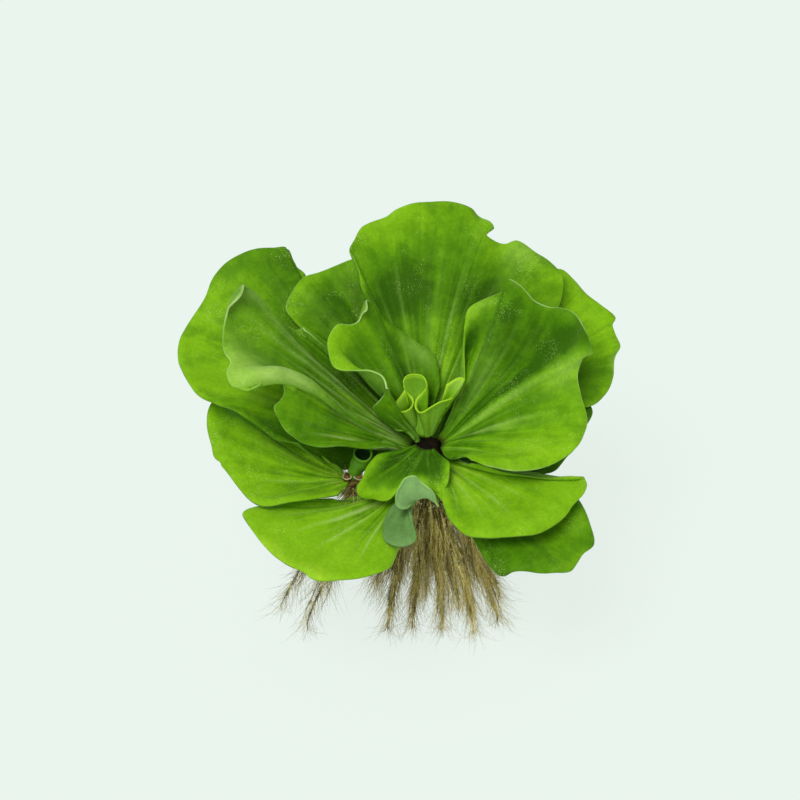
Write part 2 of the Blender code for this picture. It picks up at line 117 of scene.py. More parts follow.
# Each leaf's "base" is its foot on the stem: azimuth in degrees, height, distance from the axis, and how
# many degrees it wraps round it. "rise" is its slope there, across the leaf, and "rim" its outline from one
# side of the foot to the other. "calm", "hold", "fan" and "reach" take the place of RIM_CALM_SHARE,
# RIM_WAVE_POWER, VEIN_FAN and VEIN_REACH, "centre" of the stem's axis, and "roll" of WAVE_LENGTH and
# WAVE_LEAN. "folds" are soft swells of a blade: (across, its width, along, its width, shift in mm), and
# "curls" are rim stretches that roll over: (across, its width, length in mm, angle, with up positive).
LEAVES = {
    "leaf_back_tall": {
        "base": (95, 75.5, 6.6, 60), "rise": 54,
        "curls": [(0.56, 0.03, 5, -75), (0.8, 0.08, 5, -45), (0.14, 0.06, 4, 35)],
        "rim": [(-21, 26, 121), (-25, 35, 128), (-27, 38, 130), (-25, 41, 133), (-23, 43, 136),
                (-20, 45, 137), (-14, 46, 139), (-11, 47, 141), (-5, 48, 143), (1, 49, 143), (8, 49, 143),
                (15, 48, 141), (18, 47, 138), (21, 46, 137), (20, 43, 134), (23, 43, 131), (27, 44, 129),
                (31, 45, 130), (38, 42, 127), (43, 41, 124), (46, 39, 121), (47, 36, 117), (44, 27, 109)],
    },
    "leaf_back_right": {
        "base": (32, 71.5, 8, 60), "rise": 40,
        "curls": [(0.3, 0.12, 4, -40), (0.72, 0.08, 5, -45)],
        "rim": [(33, 47, 110), (42, 49, 115), (47, 47, 117), (52, 44, 114), (56, 42, 110), (61, 39, 107),
                (66, 35, 104), (65, 34, 102), (66, 31, 100), (68, 28, 97), (66, 25, 93), (65, 20, 90),
                (63, 16, 87), (60, 13, 85), (55, 9, 85)],
    },
    "leaf_right_inner": {
        "base": (6, 75.2, 6.6, 76), "rise": (38, 50, 44, 38, 32, 26),
        "folds": [(0.4, 0.08, 0.7, 0.28, (1.8, 1.8, -2.4)), (0.16, 0.05, 0.72, 0.1, (0.9, 0.9, -1.2)),
                  (1.0, 0.1, 0.35, 0.3, (-1, -1.5, -2.5)), (0.3, 0.04, 0.55, 0.28, (-0.8, -0.8, 1.2)),
                  (0.54, 0.04, 0.62, 0.35, (-1.1, -1.2, 1.8)), (0.62, 0.035, 0.6, 0.3, (-0.4, -0.5, 0.8)),
                  (0.71, 0.035, 0.62, 0.3, (0.4, 0.5, -1.0))],
        "curls": [(0.06, 0.12, 3, 0), (0.2, 0.04, 3, -30), (0.36, 0.05, 3, 30), (0.55, 0.035, 6, -85),
                  (0.86, 0.1, 5, -60)],
        "rim": [(13, 11, 93.7), (13, 15, 100.7), (13.1, 19.5, 108), (13.3, 22, 112), (14.3, 24.4, 115.3),
                (18.5, 27, 117.2), (26, 28, 121), (27, 27, 126), (31, 25, 125), (34, 24, 122),
                (36, 23, 120), (41, 22, 118), (45, 20, 119), (49, 17, 119), (52, 12, 117), (54, 8, 113),
                (54, 5, 111), (50, 2, 105), (51, -3, 100), (53, -9, 94), (52, -13, 92), (50, -17, 90.5),
                (45, -20.5, 89.5), (40, -23, 88.5), (33, -25, 88.5), (20, -23, 88), (14, -18.5, 85)],
    },
    "leaf_back_left": {
        "base": (152, 69.2, 8, 60), "rise": (-8, 24, 30, 30, 30),
        "rim": [(-44, -7, 81), (-55, -4, 86), (-64, -1, 90.5), (-71, 1, 93), (-76, 3, 95), (-80, 6, 96),
                (-83, 10, 98), (-86, 20, 100), (-86, 26, 101), (-84, 32, 103), (-78, 40, 109),
                (-75, 47, 114), (-69, 51, 118), (-63, 54, 120), (-54, 55.8, 120), (-50, 56.7, 119.8),
                (-49.3, 56.3, 119), (-48.8, 55.2, 117.8), (-46.5, 52.5, 114.5), (-43, 48, 110)],
        "folds": [(0.0, 0.08, 0.6, 0.3, (0, -2, -3))],
    },
    "leaf_back_mid": {
        "base": (118, 71.8, 8, 56), "rise": 48,
        "rim": [(-41, 27, 103), (-49, 35, 107), (-49, 38, 109), (-44, 45, 114), (-38, 49, 114),
                (-31, 51, 116), (-25, 53, 117), (-18, 53, 117), (-13, 50, 114), (-11, 40, 105)],
    },
    "leaf_left_inner": {
        "base": (172, 73.6, 7, 66), "rise": (30, 30, 28, 34, 38, 37, 37, 37, 34), "calm": 0.05,
        "rim": [(-18, -10, 83), (-28, -16, 88), (-41, -21, 93), (-45, -22, 98), (-48.2, -20, 102),
                (-50, -19, 106.6), (-48.2, -17, 107.4), (-46.5, -14, 108.5), (-47.5, -13, 112.5),
                (-50, -14, 115.5), (-52.5, -14.5, 116), (-56, -17, 115), (-60, -19, 115),
                (-63.3, -19.3, 116.3), (-65.4, -16, 118.8), (-64.6, -10.5, 119.3), (-66.0, -6, 120.5),
                (-67.2, -0.5, 122), (-67.4, 8, 124.4), (-66, 12.5, 127.4), (-63.5, 16.5, 128.3),
                (-60, 20.5, 126.3), (-56, 22, 119.4), (-52, 22, 114.3), (-43, 20, 108.2), (-32, 13, 101)],
        "folds": [(0.46, 0.06, 0.7, 0.24, (0, -2, 12)), (0.92, 0.12, 0.6, 0.3, (1, 2, 3))],
        "curls": [(0.69, 0.045, 2.3, 165), (0.565, 0.03, 3, -50), (0.46, 0.03, 2.5, -45),
                  (0.92, 0.09, 4, -55)],
    },
    "leaf_centre_left": {
        "base": (135, 76.9, 4.6, 110), "rise": 58,
        "curls": [(0.42, 0.05, 6, -75), (0.625, 0.025, 1.5, 160), (0.86, 0.1, 3.5, -40)],
        "rim": [(-7, 0.6, 82), (-11, 0.3, 82.4), (-15, 1.2, 83.6), (-18, 2, 86), (-19, 1, 90),
                (-17, -2, 95), (-14, -5, 101), (-13, -6, 105), (-15, -5, 109), (-19, -3, 110),
                (-23, -1, 110), (-28, 1, 112), (-31, 4, 113), (-33, 7, 115), (-32, 10, 117), (-30, 12, 118),
                (-26, 13, 117), (-23.4, 15, 117.3), (-22.6, 18, 119.6), (-21.4, 20.8, 121.2),
                (-19, 22, 119.3), (-16, 23, 114), (-11, 25, 108), (-3, 22, 103), (1, 19, 101), (3, 15, 97),
                (4, 11, 92)],
    },
    "leaf_heart": {
        "base": (270, 78.0, 4.6, 200), "rise": 80, "calm": 0.02, "hold": 0.7, "centre": (-0.9, 4.0),
        "roll": (0.8, -40),
        "rim": [(6.5, 6.5, 96), (9, 8, 97), (11.6, 9, 98), (12.3, 7.2, 98), (12, 7, 95), (10.3, 7, 93),
                (7.5, 5, 92), (4, 3.3, 92), (0.7, 1.8, 91), (-2.4, 0.3, 90), (-3.6, 1.5, 90.3), (-4, 4, 91),
                (-3.4, 5.6, 92), (-1.5, 6.8, 93.5), (-0.2, 8.5, 95.5), (-1.2, 10.5, 97), (-4.5, 11.5, 97.3),
                (-7.5, 10.8, 97), (-8.8, 9, 95.7), (-8, 7, 94), (-6.2, 5.6, 92.3), (-5.6, 4, 91.3),
                (-6.2, 2.2, 90.5), (-8, 1, 90), (-10.3, 0.6, 90.5), (-10.8, 1.6, 92), (-9.3, 2.8, 94),
                (-7.6, 4, 96)],
    },
    "leaf_left_low": {
        "base": (188, 68.8, 4.2, 90), "rise": 10, "on_offset": True,
        "curls": [(0.46, 0.08, 5, -60), (0.18, 0.1, 4, -35), (0.62, 0.06, 3, 5)],
        "rim": [(-30, -20, 72), (-40, -25, 73), (-48, -27, 74), (-56, -27, 73), (-60, -25, 73),
                (-63, -22, 74), (-66, -18, 76), (-69, -14, 79), (-69.8, -11.4, 79.6), (-72, -9.6, 80.4),
                (-73, -6, 82), (-75, 0, 85), (-75, 6, 87), (-73, 11, 87), (-68, 13, 83), (-62, 13, 83),
                (-50, 8, 79), (-42, 0.5, 75.3), (-35.5, -6, 73.3)],
    },
    "leaf_front_left_low": {
        "base": (232, 63.2, 8, 42), "rise": 2, "fan": 0.2,
        "rim": [(-8, -28, 61), (-10, -39, 61), (-12, -47, 63), (-15, -51, 64), (-21, -53, 64),
                (-34, -55, 64), (-38, -54, 64), (-41, -52, 65), (-46, -49, 65), (-50, -47, 67),
                (-55, -42, 69), (-61, -32, 70), (-62, -28, 70), (-56, -24, 69), (-44, -21, 68),
                (-32, -20, 66)],
    },
    "leaf_front_small": {
        "base": (250, 76.0, 5.6, 110), "rise": 5,
        "rim": [(5, -9, 77), (7, -12, 78), (7, -17, 77), (6, -21, 75), (4, -23, 74), (-2, -19, 74),
                (-9, -20, 73), (-14, -23, 70), (-19, -23, 71), (-23, -23, 72), (-24, -22, 75),
                (-22, -19, 77), (-21, -16, 78), (-19, -13, 79), (-16, -10, 80), (-13, -8, 79)],
    },
    "leaf_front_right": {
        "base": (318, 70.8, 8, 60), "rise": (14, 8),
        "curls": [(0.55, 0.12, 5, -65)],
        "rim": [(14, -16, 79), (31, -21, 79), (49, -22, 78), (53, -21, 77), (52, -26, 77), (48, -31, 76),
                (45, -35, 75), (37, -41, 75), (32, -43, 75), (26, -44, 74), (21, -44, 73), (16, -43, 73),
                (12.5, -42, 73), (8.5, -37.5, 73), (5.5, -31, 72.5), (5, -26, 72), (2.5, -21.5, 72),
                (1, -18, 72)],
    },
    "leaf_front_right_low": {
        "base": (308, 65.4, 8, 40), "rise": 5,
        "rim": [(45, -18, 70), (50, -22, 71), (54, -31, 67), (55, -38, 64), (51, -42, 63), (49, -45, 62),
                (47, -48, 62), (41, -50, 63), (28, -50, 63), (24, -50, 61), (21, -47, 61), (16, -37, 63),
                (14, -32, 64)],
    },
    "leaf_right_low": {
        "base": (352, 68.6, 8, 48), "rise": 5,
        "rim": [(44, 16, 84), (50, 16, 85), (55, 14, 84.5), (57, 10, 83), (54, 3, 81), (50, -5, 78),
                (45, -12, 77), (42, -15, 76), (34, -15, 74)],
    },
    "leaf_front_curl": {
        "base": (276, 67.8, 8, 26), "rise": -3, "reach": 1.0,
        "rim": [(4, -24, 69), (2, -24, 73), (0, -25, 78), (-3, -25, 81), (-5, -26, 84), (-8, -26, 83),
                (-10, -27, 80), (-11, -27, 76), (-11, -27, 72)],
    },
    "leaf_front_droop": {
        "base": (249, 65.3, 8, 16), "rise": 2, "fan": -0.5,
        "rim": [(-6, -20, 66), (-6, -27, 67), (-5, -33, 66), (-4, -36, 66), (-5, -39, 66), (-8, -41, 66),
                (-11, -41, 66), (-14, -39, 66), (-15, -36, 66), (-15, -32, 66), (-14, -27, 67),
                (-12, -22, 67), (-9, -17, 66)],
    },
    "leaf_under_back": {
        "base": (70, 67.0, 8, 44), "rise": 22,
        "rim": [(2, 38, 82), (6, 48, 88), (12, 54, 92), (20, 56, 94), (28, 54, 93), (34, 48, 90),
                (37, 40, 87), (34, 30, 81)],
    },
    "leaf_under_left": {
        "base": (114, 66.6, 8, 40), "rise": 22,
        "rim": [(-34, 26, 81), (-38, 36, 88), (-36, 46, 93), (-28, 52, 96), (-18, 54, 96), (-10, 50, 93),
                (-6, 42, 87), (-6, 34, 81)],
    },
}

# Each root: where it leaves its stem (angle, distance), its foot, and the radius of its fringe of hairs.
MAIN_ROOTS = {
    "root_centre": ((0, 0.0), (0, 0, 0), 4.2),
    "root_front_left": ((220, 5.9), (-14, -15, 0), 4.4),
    "root_front_mid_left": ((250, 5.9), (-5, -14, 0), 4.0),
    "root_front_mid_right": ((279, 5.9), (6, -15, 0), 4.2),
    "root_front_right": ((305, 5.9), (17, -17, 0), 4.3),
    "root_front_far_right": ((330, 5.9), (26, -11, 0), 4.5),
    "root_right": ((345, 3.0), (12, -4, 0), 4.2),
    "root_right_out": ((355, 5.9), (27, 1, 0), 4.5),
    "root_back_right": ((30, 5.9), (18, 12, 0), 4.4),
    "root_back": ((70, 5.9), (5, 14, 0), 4.4),
    "root_back_left": ((115, 5.9), (-9, 12, 0), 4.4),
    "root_left": ((165, 5.9), (-18, 1, 7), 4.2),
}
OFFSET_ROOTS = {
    "offset_root_far": ((185, 2.1), (-53, -5, 0), 4.2),
    "offset_root_mid": ((280, 2.1), (-43, -15, 0), 4.2),
    "offset_root_near": ((60, 2.1), (-36, -2, 8), 3.6),
}

# What each leaf looks like: its count of "veins", how strongly their pale lines show ("vein_lines"), and
# how "bright" its green is, partly its own green and partly painted light and shade on the whole leaf. Its
# rim line is dark unless "pale_rim". "young" is its share of young green, "grey" makes its underside
# blue-grey, "grey_top" its upper side too, and "relief" scales its ribs and pleats. The lists are soft
# spots, (across, along, width across, width along, amount): the brighter and deeper spots are painted light
# where the leaf's form catches light and painted shade where it lies in hollows and under other leaves;
# "pale" has pale streaks and painted highlights along lit crests and lips, and "lines" makes the rim line
# stronger or weaker, with a painted highlight where it is made much stronger.
LOOKS = {
    "leaf_back_tall": {
        "veins": 11, "vein_lines": 0.2, "bright": 0.36,
        "light_and_shade_spots": [(0.24, 0.64, 0.16, 0.16, -0.3), (0.36, 0.62, 0.05, 0.12, -0.22),
                  (0.47, 0.55, 0.06, 0.3, 0.1), (0.68, 0.72, 0.12, 0.16, -0.32),
                  (0.45, 1.0, 0.6, 0.12, 0.22), (0.62, 0.38, 0.1, 0.2, 0.18)],
        "pale": [(0.74, 0.96, 0.05, 0.07, 0.25), (0.42, 0.35, 0.02, 0.2, 0.2),
                 (0.55, 0.38, 0.02, 0.2, 0.2)],
    },
    "leaf_back_right": {
        "veins": 11, "vein_lines": 0.15, "bright": 0.55,
        "light_and_shade_spots": [(0.5, 0.85, 0.25, 0.2, 0.1), (0.8, 0.7, 0.15, 0.3, -0.2)],
    },
    "leaf_right_inner": {
        "veins": 9, "vein_lines": 0.2, "pale_rim": True, "bright": 0.45,
        "light_and_shade_spots": [(0.36, 0.72, 0.13, 0.3, -0.38), (0.575, 0.65, 0.035, 0.4, 0.25),
                  (0.86, 0.7, 0.18, 0.35, 0.34), (0.49, 0.55, 0.035, 0.4, -0.35),
                  (0.15, 0.97, 0.06, 0.06, 0.35), (0.16, 0.8, 0.05, 0.08, -0.45),
                  (0.6, 0.5, 0.02, 0.3, -0.2), (0.0, 0.75, 0.05, 0.5, 0.3), (0.46, 0.85, 0.05, 0.2, -0.25),
                  (0.28, 0.85, 0.05, 0.15, -0.1)],
        "pale": [(0.26, 0.5, 0.018, 0.22, 0.35), (0.31, 0.45, 0.012, 0.16, 0.25),
                 (0.55, 0.45, 0.016, 0.35, 0.32), (0.57, 0.9, 0.03, 0.12, 0.3),
                 (0.17, 0.97, 0.05, 0.05, 0.15), (0.68, 0.4, 0.018, 0.2, 0.25)],
        "lines": [(0.05, 1, 0.12, 9, -1.4), (0.8, 1, 0.12, 9, -0.6)],
    },
    "leaf_back_left": {
        "veins": 13, "vein_lines": 0.12, "bright": 0.5,
        "light_and_shade_spots": [(0.35, 0.9, 0.25, 0.25, 0.22), (0.85, 0.9, 0.12, 0.15, -0.35),
                  (0.08, 0.6, 0.16, 0.5, -0.45)],
    },
    "leaf_back_mid": {
        "veins": 10, "vein_lines": 0.15, "pale_rim": True, "bright": 0.14,
        "light_and_shade_spots": [(0.5, 1.0, 0.5, 0.1, 0.35), (0.15, 0.9, 0.12, 0.15, 0.25)],
    },
    "leaf_left_inner": {
        "veins": 14, "vein_lines": 0.8, "pale_rim": True, "bright": 0.4,
        "light_and_shade_spots": [(0.48, 0.97, 0.06, 0.12, 0.5), (0.42, 0.62, 0.04, 0.4, 0.3), (0.64, 0.85, 0.1, 0.2, 0.15),
                  (0.2, 0.8, 0.1, 0.3, -0.1), (0.9, 0.6, 0.1, 0.3, -0.05), (0.16, 0.5, 0.04, 0.5, 0.3)],
        "pale": [(0.5, 0.93, 0.08, 0.14, 0.55), (0.46, 0.78, 0.045, 0.12, 0.6),
                 (0.45, 0.66, 0.04, 0.1, 0.55), (0.49, 0.5, 0.03, 0.12, 0.5),
                 (0.576, 0.42, 0.014, 0.09, 0.8), (0.572, 0.3, 0.014, 0.09, 0.8),
                 (0.445, 0.7, 0.02, 0.07, 0.5), (0.68, 0.55, 0.009, 0.25, 0.4),
                 (0.73, 0.68, 0.008, 0.22, 0.4), (0.8, 0.97, 0.1, 0.05, 0.35)],
        "lines": [(0.2, 1, 0.16, 9, -0.7), (0.58, 1, 0.07, 9, -0.7), (0.44, 1, 0.06, 9, -0.9)],
    },
    "leaf_centre_left": {
        "veins": 12, "vein_lines": 0.2, "pale_rim": True, "bright": 0.36, "line_width": 0.34,
        "light_and_shade_spots": [(0.42, 0.95, 0.12, 0.1, 0.5), (0.7, 0.6, 0.2, 0.3, -0.05)],
        "pale": [(0.86, 0.9, 0.06, 0.1, 0.3), (0.8, 0.6, 0.008, 0.25, 0.35)],
        # The spot that makes the rim line much stronger is a painted highlight along the lit S-shaped edge.
        "lines": [(0.42, 1, 0.14, 9, -0.8), (0.9, 1, 0.15, 9, -0.7), (0.0, 1, 0.08, 9, -1.0),
                  (0.21, 1, 0.05, 9, 5.0)],
    },
    "leaf_heart": {
        "veins": 7, "vein_lines": 0.1, "pale_rim": True, "bright": 0.62, "young": 0.3, "line_width": 1.4,
        "line_color": (0.4, 0.68, 0.03), "specks": 0.0, "base_thickness": 0.9, "rim_thickness": 0.6,
        "relief": 0.4,
        "light_and_shade_spots": [(0.13, 1.0, 0.14, 0.25, 0.5), (0.45, 0.5, 0.03, 0.5, -0.6), (0.6, 0.86, 0.1, 0.14, -0.5)],
        "pale": [(0.36, 0.6, 0.014, 0.5, 0.5), (0.1, 0.92, 0.09, 0.12, 0.6), (0.35, 0.98, 0.1, 0.05, 0.4),
                 (0.92, 0.95, 0.05, 0.08, 0.4)],
    },
    "leaf_left_low": {
        "veins": 9, "vein_lines": 0.25, "bright": 0.62,
        "light_and_shade_spots": [(0.35, 0.85, 0.3, 0.2, 0.15), (0.9, 0.6, 0.15, 0.4, -0.15)],
    },
    "leaf_front_left_low": {
        "veins": 10, "vein_lines": 0.8, "bright": 0.75,
        "light_and_shade_spots": [(0.45, 1.0, 0.1, 0.08, 0.25), (0.95, 0.6, 0.08, 0.5, -0.4)],
    },
    "leaf_front_small": {
        "veins": 7, "vein_lines": 0.05, "bright": 0.12,
        "light_and_shade_spots": [(0.5, 1.0, 0.6, 0.22, 0.75), (0.3, 0.7, 0.12, 0.3, -0.2)],
    },
    "leaf_front_right": {
        "veins": 10, "vein_lines": 0.4, "bright": 0.78,
        "light_and_shade_spots": [(0.1, 0.5, 0.1, 0.5, 0.3), (0.85, 0.8, 0.1, 0.2, -0.1), (0.4, 0.5, 0.2, 0.3, 0.1)],
        "pale": [(0.1, 0.45, 0.06, 0.35, 0.45), (0.4, 0.35, 0.02, 0.2, 0.3), (0.25, 0.6, 0.1, 0.3, 0.2)],
    },
    "leaf_front_right_low": {
        "veins": 9, "vein_lines": 0.12, "bright": 0.32,
        "light_and_shade_spots": [(0.8, 1.0, 0.2, 0.2, -0.15)],
    },
    "leaf_right_low": {"veins": 8, "vein_lines": 0.15, "bright": 0.15},
    "leaf_front_curl": {
        "veins": 5, "vein_lines": 0.15, "pale_rim": True, "bright": 0.8, "grey": 1.0, "specks": 0.0,
        "light_and_shade_spots": [(0.5, 0.9, 0.5, 0.2, 0.2)],
        "lines": [(0.5, 1, 9, 9, -0.5)],
    },
    "leaf_front_droop": {
        "veins": 5, "vein_lines": 0.1, "bright": 0.3, "grey": 1.0, "grey_top": 1.0, "specks": 0.0,
    },
    "leaf_under_back": {"veins": 8, "vein_lines": 0.15, "bright": 0.3},
    "leaf_under_left": {"veins": 8, "vein_lines": 0.15, "bright": 0.3},
}

# What a look has where it says nothing.
SPECK_STRENGTH = 0.55
RIM_LINE_WIDTH = 0.45

# Colours, linear.
DEEP_GREEN = (0.030, 0.110, 0.0015)
MIDDLE_GREEN = (0.085, 0.240, 0.003)
BRIGHT_GREEN = (0.215, 0.460, 0.007)
LIME_GREEN = (0.360, 0.600, 0.025)
YOUNG_GREEN = (0.190, 0.430, 0.008)
UNDER_GREEN = (0.075, 0.215, 0.008)
UNDER_PALE = (0.200, 0.400, 0.035)
DULL_GREEN = (0.085, 0.200, 0.040)
GREY_GREEN = (0.260, 0.460, 0.155)
PALE_GREEN = (0.360, 0.560, 0.120)
VEIN_GREEN = (0.420, 0.600, 0.160)
PALE_RIM = (0.500, 0.680, 0.260)
DARK_RIM = (0.055, 0.075, 0.030)
# Painted glints of the velvet's hairs.
HAIR_GLINT_SPECK = (0.620, 0.800, 0.260)
ROOT_DARK = (0.060, 0.030, 0.002)
ROOT_LIGHT = (1.000, 0.800, 0.150)
ROOT_LIT = (1.000, 0.820, 0.300)
ROOT_TIP = (0.120, 0.116, 0.086)
ROOT_GLINT = (1.000, 0.940, 0.600)
THIN_ROOT_DARK = (0.060, 0.038, 0.012)
THIN_ROOT_LIGHT = (0.700, 0.580, 0.220)
# Painted shade at the feet of the leaves, where they go into the dark crown.
FOOT_SHADE = (0.040, 0.035, 0.010)
# Near black: the crown's own dark tissue, with painted shade of the hollow among the leaves' feet.
CROWN_DARK = (0.003, 0.002, 0.001)
CROWN_LIGHT = (0.012, 0.006, 0.002)
OFFSET_DARK = (0.025, 0.014, 0.004)
OFFSET_LIGHT = (0.180, 0.110, 0.030)
SHEATH_GREEN = (0.060, 0.170, 0.010)
# Painted shade inside the sheath's tube.
SHEATH_INSIDE_SHADE = (0.006, 0.040, 0.005)
CUT_DARK = (0.200, 0.150, 0.070)
CUT_LIGHT = (0.480, 0.420, 0.260)

# Tints of a surface's shine.
LEAF_SHINE = (0.80, 1.00, 0.25, 1.0)
LEAF_SHEEN = (0.55, 0.85, 0.35, 1.0)
ROOT_SHINE = (1.00, 0.85, 0.45, 1.0)

# How many patches a metre a pattern has.
BROAD = 50
MIDDLE = 220
LUMPS = 260
FINE = 900
GRAIN = 1500
DOWN = 2600
SPECK_CELLS = 1600
# Streaks along the roots: painted shade between strands and painted light on them.
ROOT_STREAKS = 560
ROOT_STREAK_STRETCH = (1.0, 1.0, 0.14)

# Stem outlines, (radius, height) from the bottom up.
CROWN_PROFILE = ((0.3, 59.9), (5, 59.8), (7.0, 60.4), (7.5, 62.5), (7.4, 71.5), (6.6, 73.4), (4.6, 74.8),
                 (3.4, 76.4), (2.2, 77.4), (0.3, 77.8))
OFFSET_PROFILE = ((0.3, 62.3), (2.4, 62.4), (3.5, 64.2), (3.6, 66.5), (3.4, 68.4), (2.2, 69.5), (0.3, 69.6))

# Cut leaf stalks on the offset: the middle of the cut, its radius, and how far down it is rooted, mm.
STUBS = (((-27.5, -12.5, 71.9), 1.35, 3.6), ((-23.5, -12.5, 71.9), 1.45, 3.6),
         ((-26.0, -12.4, 64.0), 2.3, 1.2))

# The tube left of a cut leaf: its middle line from the offset's top, its radius along that, and its wall.
# SHEATH_TOP is the heights over which its lip tilts.
SHEATH_LINE = ((-0.4, 0.2, 0.1), (-0.2, 0.3, 1.8), (1.2, 1.0, 5.1), (2.7, 1.7, 7.9), (3.0, 1.8, 9.9))
SHEATH_RADII = ((0, 0.2, 0.5, 0.8, 1), (1.8, 2.2, 2.8, 3.2, 3.3))
SHEATH_WALL = 0.55
SHEATH_SIDES = 40
SHEATH_ROWS = 25
SHEATH_INNER_ROWS = 14
SHEATH_TOP = (72, 79)

# The offset's loose fibres, the runner to it, and the stubs of its cut stalks with a pale rim each.
LOOSE_FIBRES = 280
STOLON_RADIUS = 1.2
STUB_RINGS = 10
SCAR_THICKNESS = 0.24
SCAR_SAMPLES = 36
SCAR_SIDES = 8

# Where the random draws start: the first leaf's and the first root's. Each next one's is one more.
LEAF_SEED = 40
ROOT_SEED = 101

# The leaves whose slot isn't fresh_leaf.
UNDERSIDES = ("leaf_front_curl", "leaf_front_droop")
SHADED = ("leaf_back_mid", "leaf_front_small", "leaf_front_right_low", "leaf_right_low",
          "leaf_under_back", "leaf_under_left")

# Stage and camera, lengths in mm. The light: its name, azimuth, elevation, strength, and width in degrees.
FLOOR_COLOR = (0.10, 0.11, 0.105)
FLOOR_GLOW = (0.726, 0.797, 0.752)
FLOOR_HALF = 6000.0
WORLD_COLOR = (0.93, 1.0, 0.96)
WORLD_STRENGTH = 0.55
SUN = ("key_light", -30, 58, 1.9, 30)
CAMERA_LENS = 85.2
CAMERA_SENSOR = 36
CAMERA_ELEVATION = 38.0
CAMERA_DISTANCE = 640.0
CAMERA_TARGET = (-9.5, 0.0, 95.0)


# ---------------------------------------------------------------- geometry helpers

def smoothstep(low, high, x):
    share = np.clip((x - low) / (high - low), 0, 1)
    return share * share * (3 - 2 * share)


def unit(vectors):
    return vectors / (np.linalg.norm(vectors, axis=-1, keepdims=True) + 1e-12)


def bell(x, middle, width):
    """1 at the middle, and nearly 0 twice the width away from it."""
    return np.exp(-(((x - middle) / width) ** 2))


def points_at(where, known, curve):
    """Points of a curve at the values where, when its own points are at the known ones."""
    return np.stack([np.interp(where, known, axis) for axis in curve.T], axis=-1)


def spline_through(points, samples):
    """Even samples of a smooth curve through the points."""
    points = np.array(points, float)
    ends = np.vstack([2 * points[0] - points[1], points, 2 * points[-1] - points[-2]])
    u = np.linspace(0, 1, 24, endpoint=False)[:, None]
    pieces = []
    for before, start, end, after in zip(ends, ends[1:], ends[2:], ends[3:]):
        a, b, c = (math.sqrt(np.linalg.norm(q - p)) for p, q in ((before, start), (start, end), (end, after)))
        leave = (end - start) + b * ((start - before) / a - (end - before) / (a + b))
        arrive = (end - start) + b * ((after - end) / c - (after - start) / (b + c))
        pieces.append((2 * u**3 - 3 * u**2 + 1) * start + (u**3 - 2 * u**2 + u) * leave
                      + (3 * u**2 - 2 * u**3) * end + (u**3 - u**2) * arrive)
    curve = np.vstack(pieces + [points[-1:]])
    length = np.concatenate([[0], np.cumsum(np.linalg.norm(np.diff(curve, axis=0), axis=1))])
    even = np.linspace(0, length[-1], samples + 1)
    return points_at(even, length, curve), length[-1]


def smoothed(rim, width):
    """The rim with waves shorter than the width, a share of its length, taken out."""
    reach = int(3 * width * len(rim)) + 1
    weights = np.exp(-0.5 * (np.arange(-reach, reach + 1) / (width * len(rim))) ** 2)
    weights /= weights.sum()
    padded = np.vstack([2 * rim[0] - rim[reach:0:-1], rim, 2 * rim[-1] - rim[-2:-reach - 2:-1]])
    return np.stack([np.convolve(axis, weights, "valid") for axis in padded.T], axis=1)


def ripples(points, seed, shortest, longest, count=7):
    """A smooth random height from -1 to 1 at each point: a sum of waves with these lengths, mm."""
    draw = np.random.default_rng(seed)
    height = np.zeros(points.shape[:-1])
    for _ in range(count):
        way = unit(draw.normal(size=3))
        wave = draw.uniform(shortest, longest)
        height += np.sin(2 * math.pi * (points @ way) / wave + draw.uniform(0, 2 * math.pi))
    return height / math.sqrt(count) / 1.5


def full_turn(steps):
    return np.linspace(0, 2 * math.pi, steps, endpoint=False)


def swung(angles, side, other):
    """Ways at these angles from side towards other."""
    return np.cos(angles) * side + np.sin(angles) * other


def ring_points(middles, side, other, radii, sides):
    """A ring of points round each middle."""
    angles = full_turn(sides)[None, :, None]
    return middles[:, None] + radii[:, None, None] * swung(angles, side[:, None], other[:, None])


def tube_faces(rings, sides, first=0):
    """Faces of a tube of rings, closed at both ends. first is the number of its first point."""
    index = first + np.arange(rings * sides).reshape(rings, sides)
    after = np.roll(index, -1, axis=1)
    quads = np.stack([index[:-1], after[:-1], after[1:], index[1:]], axis=-1).reshape(-1, 4)
    return quads.tolist() + [index[0, ::-1].tolist(), index[-1].tolist()]


def arc_between(start, bend, end, samples):
    """Points of a curve that leaves start for bend and comes from it to end."""
    t = np.linspace(0, 1, samples)[:, None]
    return (1 - t) ** 2 * start + 2 * t * (1 - t) * bend + t**2 * end


def add_object(name, data):
    obj = bpy.data.objects.new(name, data)
    bpy.context.scene.collection.objects.link(obj)
    return obj


def mesh_object(name, points, faces, attributes, material):
    """A smooth-shaded mesh, with points in mm and one value of each attribute at each point."""
    mesh = bpy.data.meshes.new(name)
    mesh.from_pydata((np.asarray(points) * MM).tolist(), [], [list(face) for face in faces])
    mesh.validate()
    for key, values in attributes.items():
        made = mesh.attributes.new(key, "FLOAT", "POINT")
        made.data.foreach_set("value", np.asarray(values, np.float32))
    mesh.shade_smooth()
    mesh.materials.append(material)
    return add_object(name, mesh)


def place(obj, slot, *nodes):
    """The piece rides on the plant and stands for its solids."""
    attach(obj, "root")
    if nodes:
        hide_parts(*nodes)
    return obj


# ---------------------------------------------------------------- material helpers

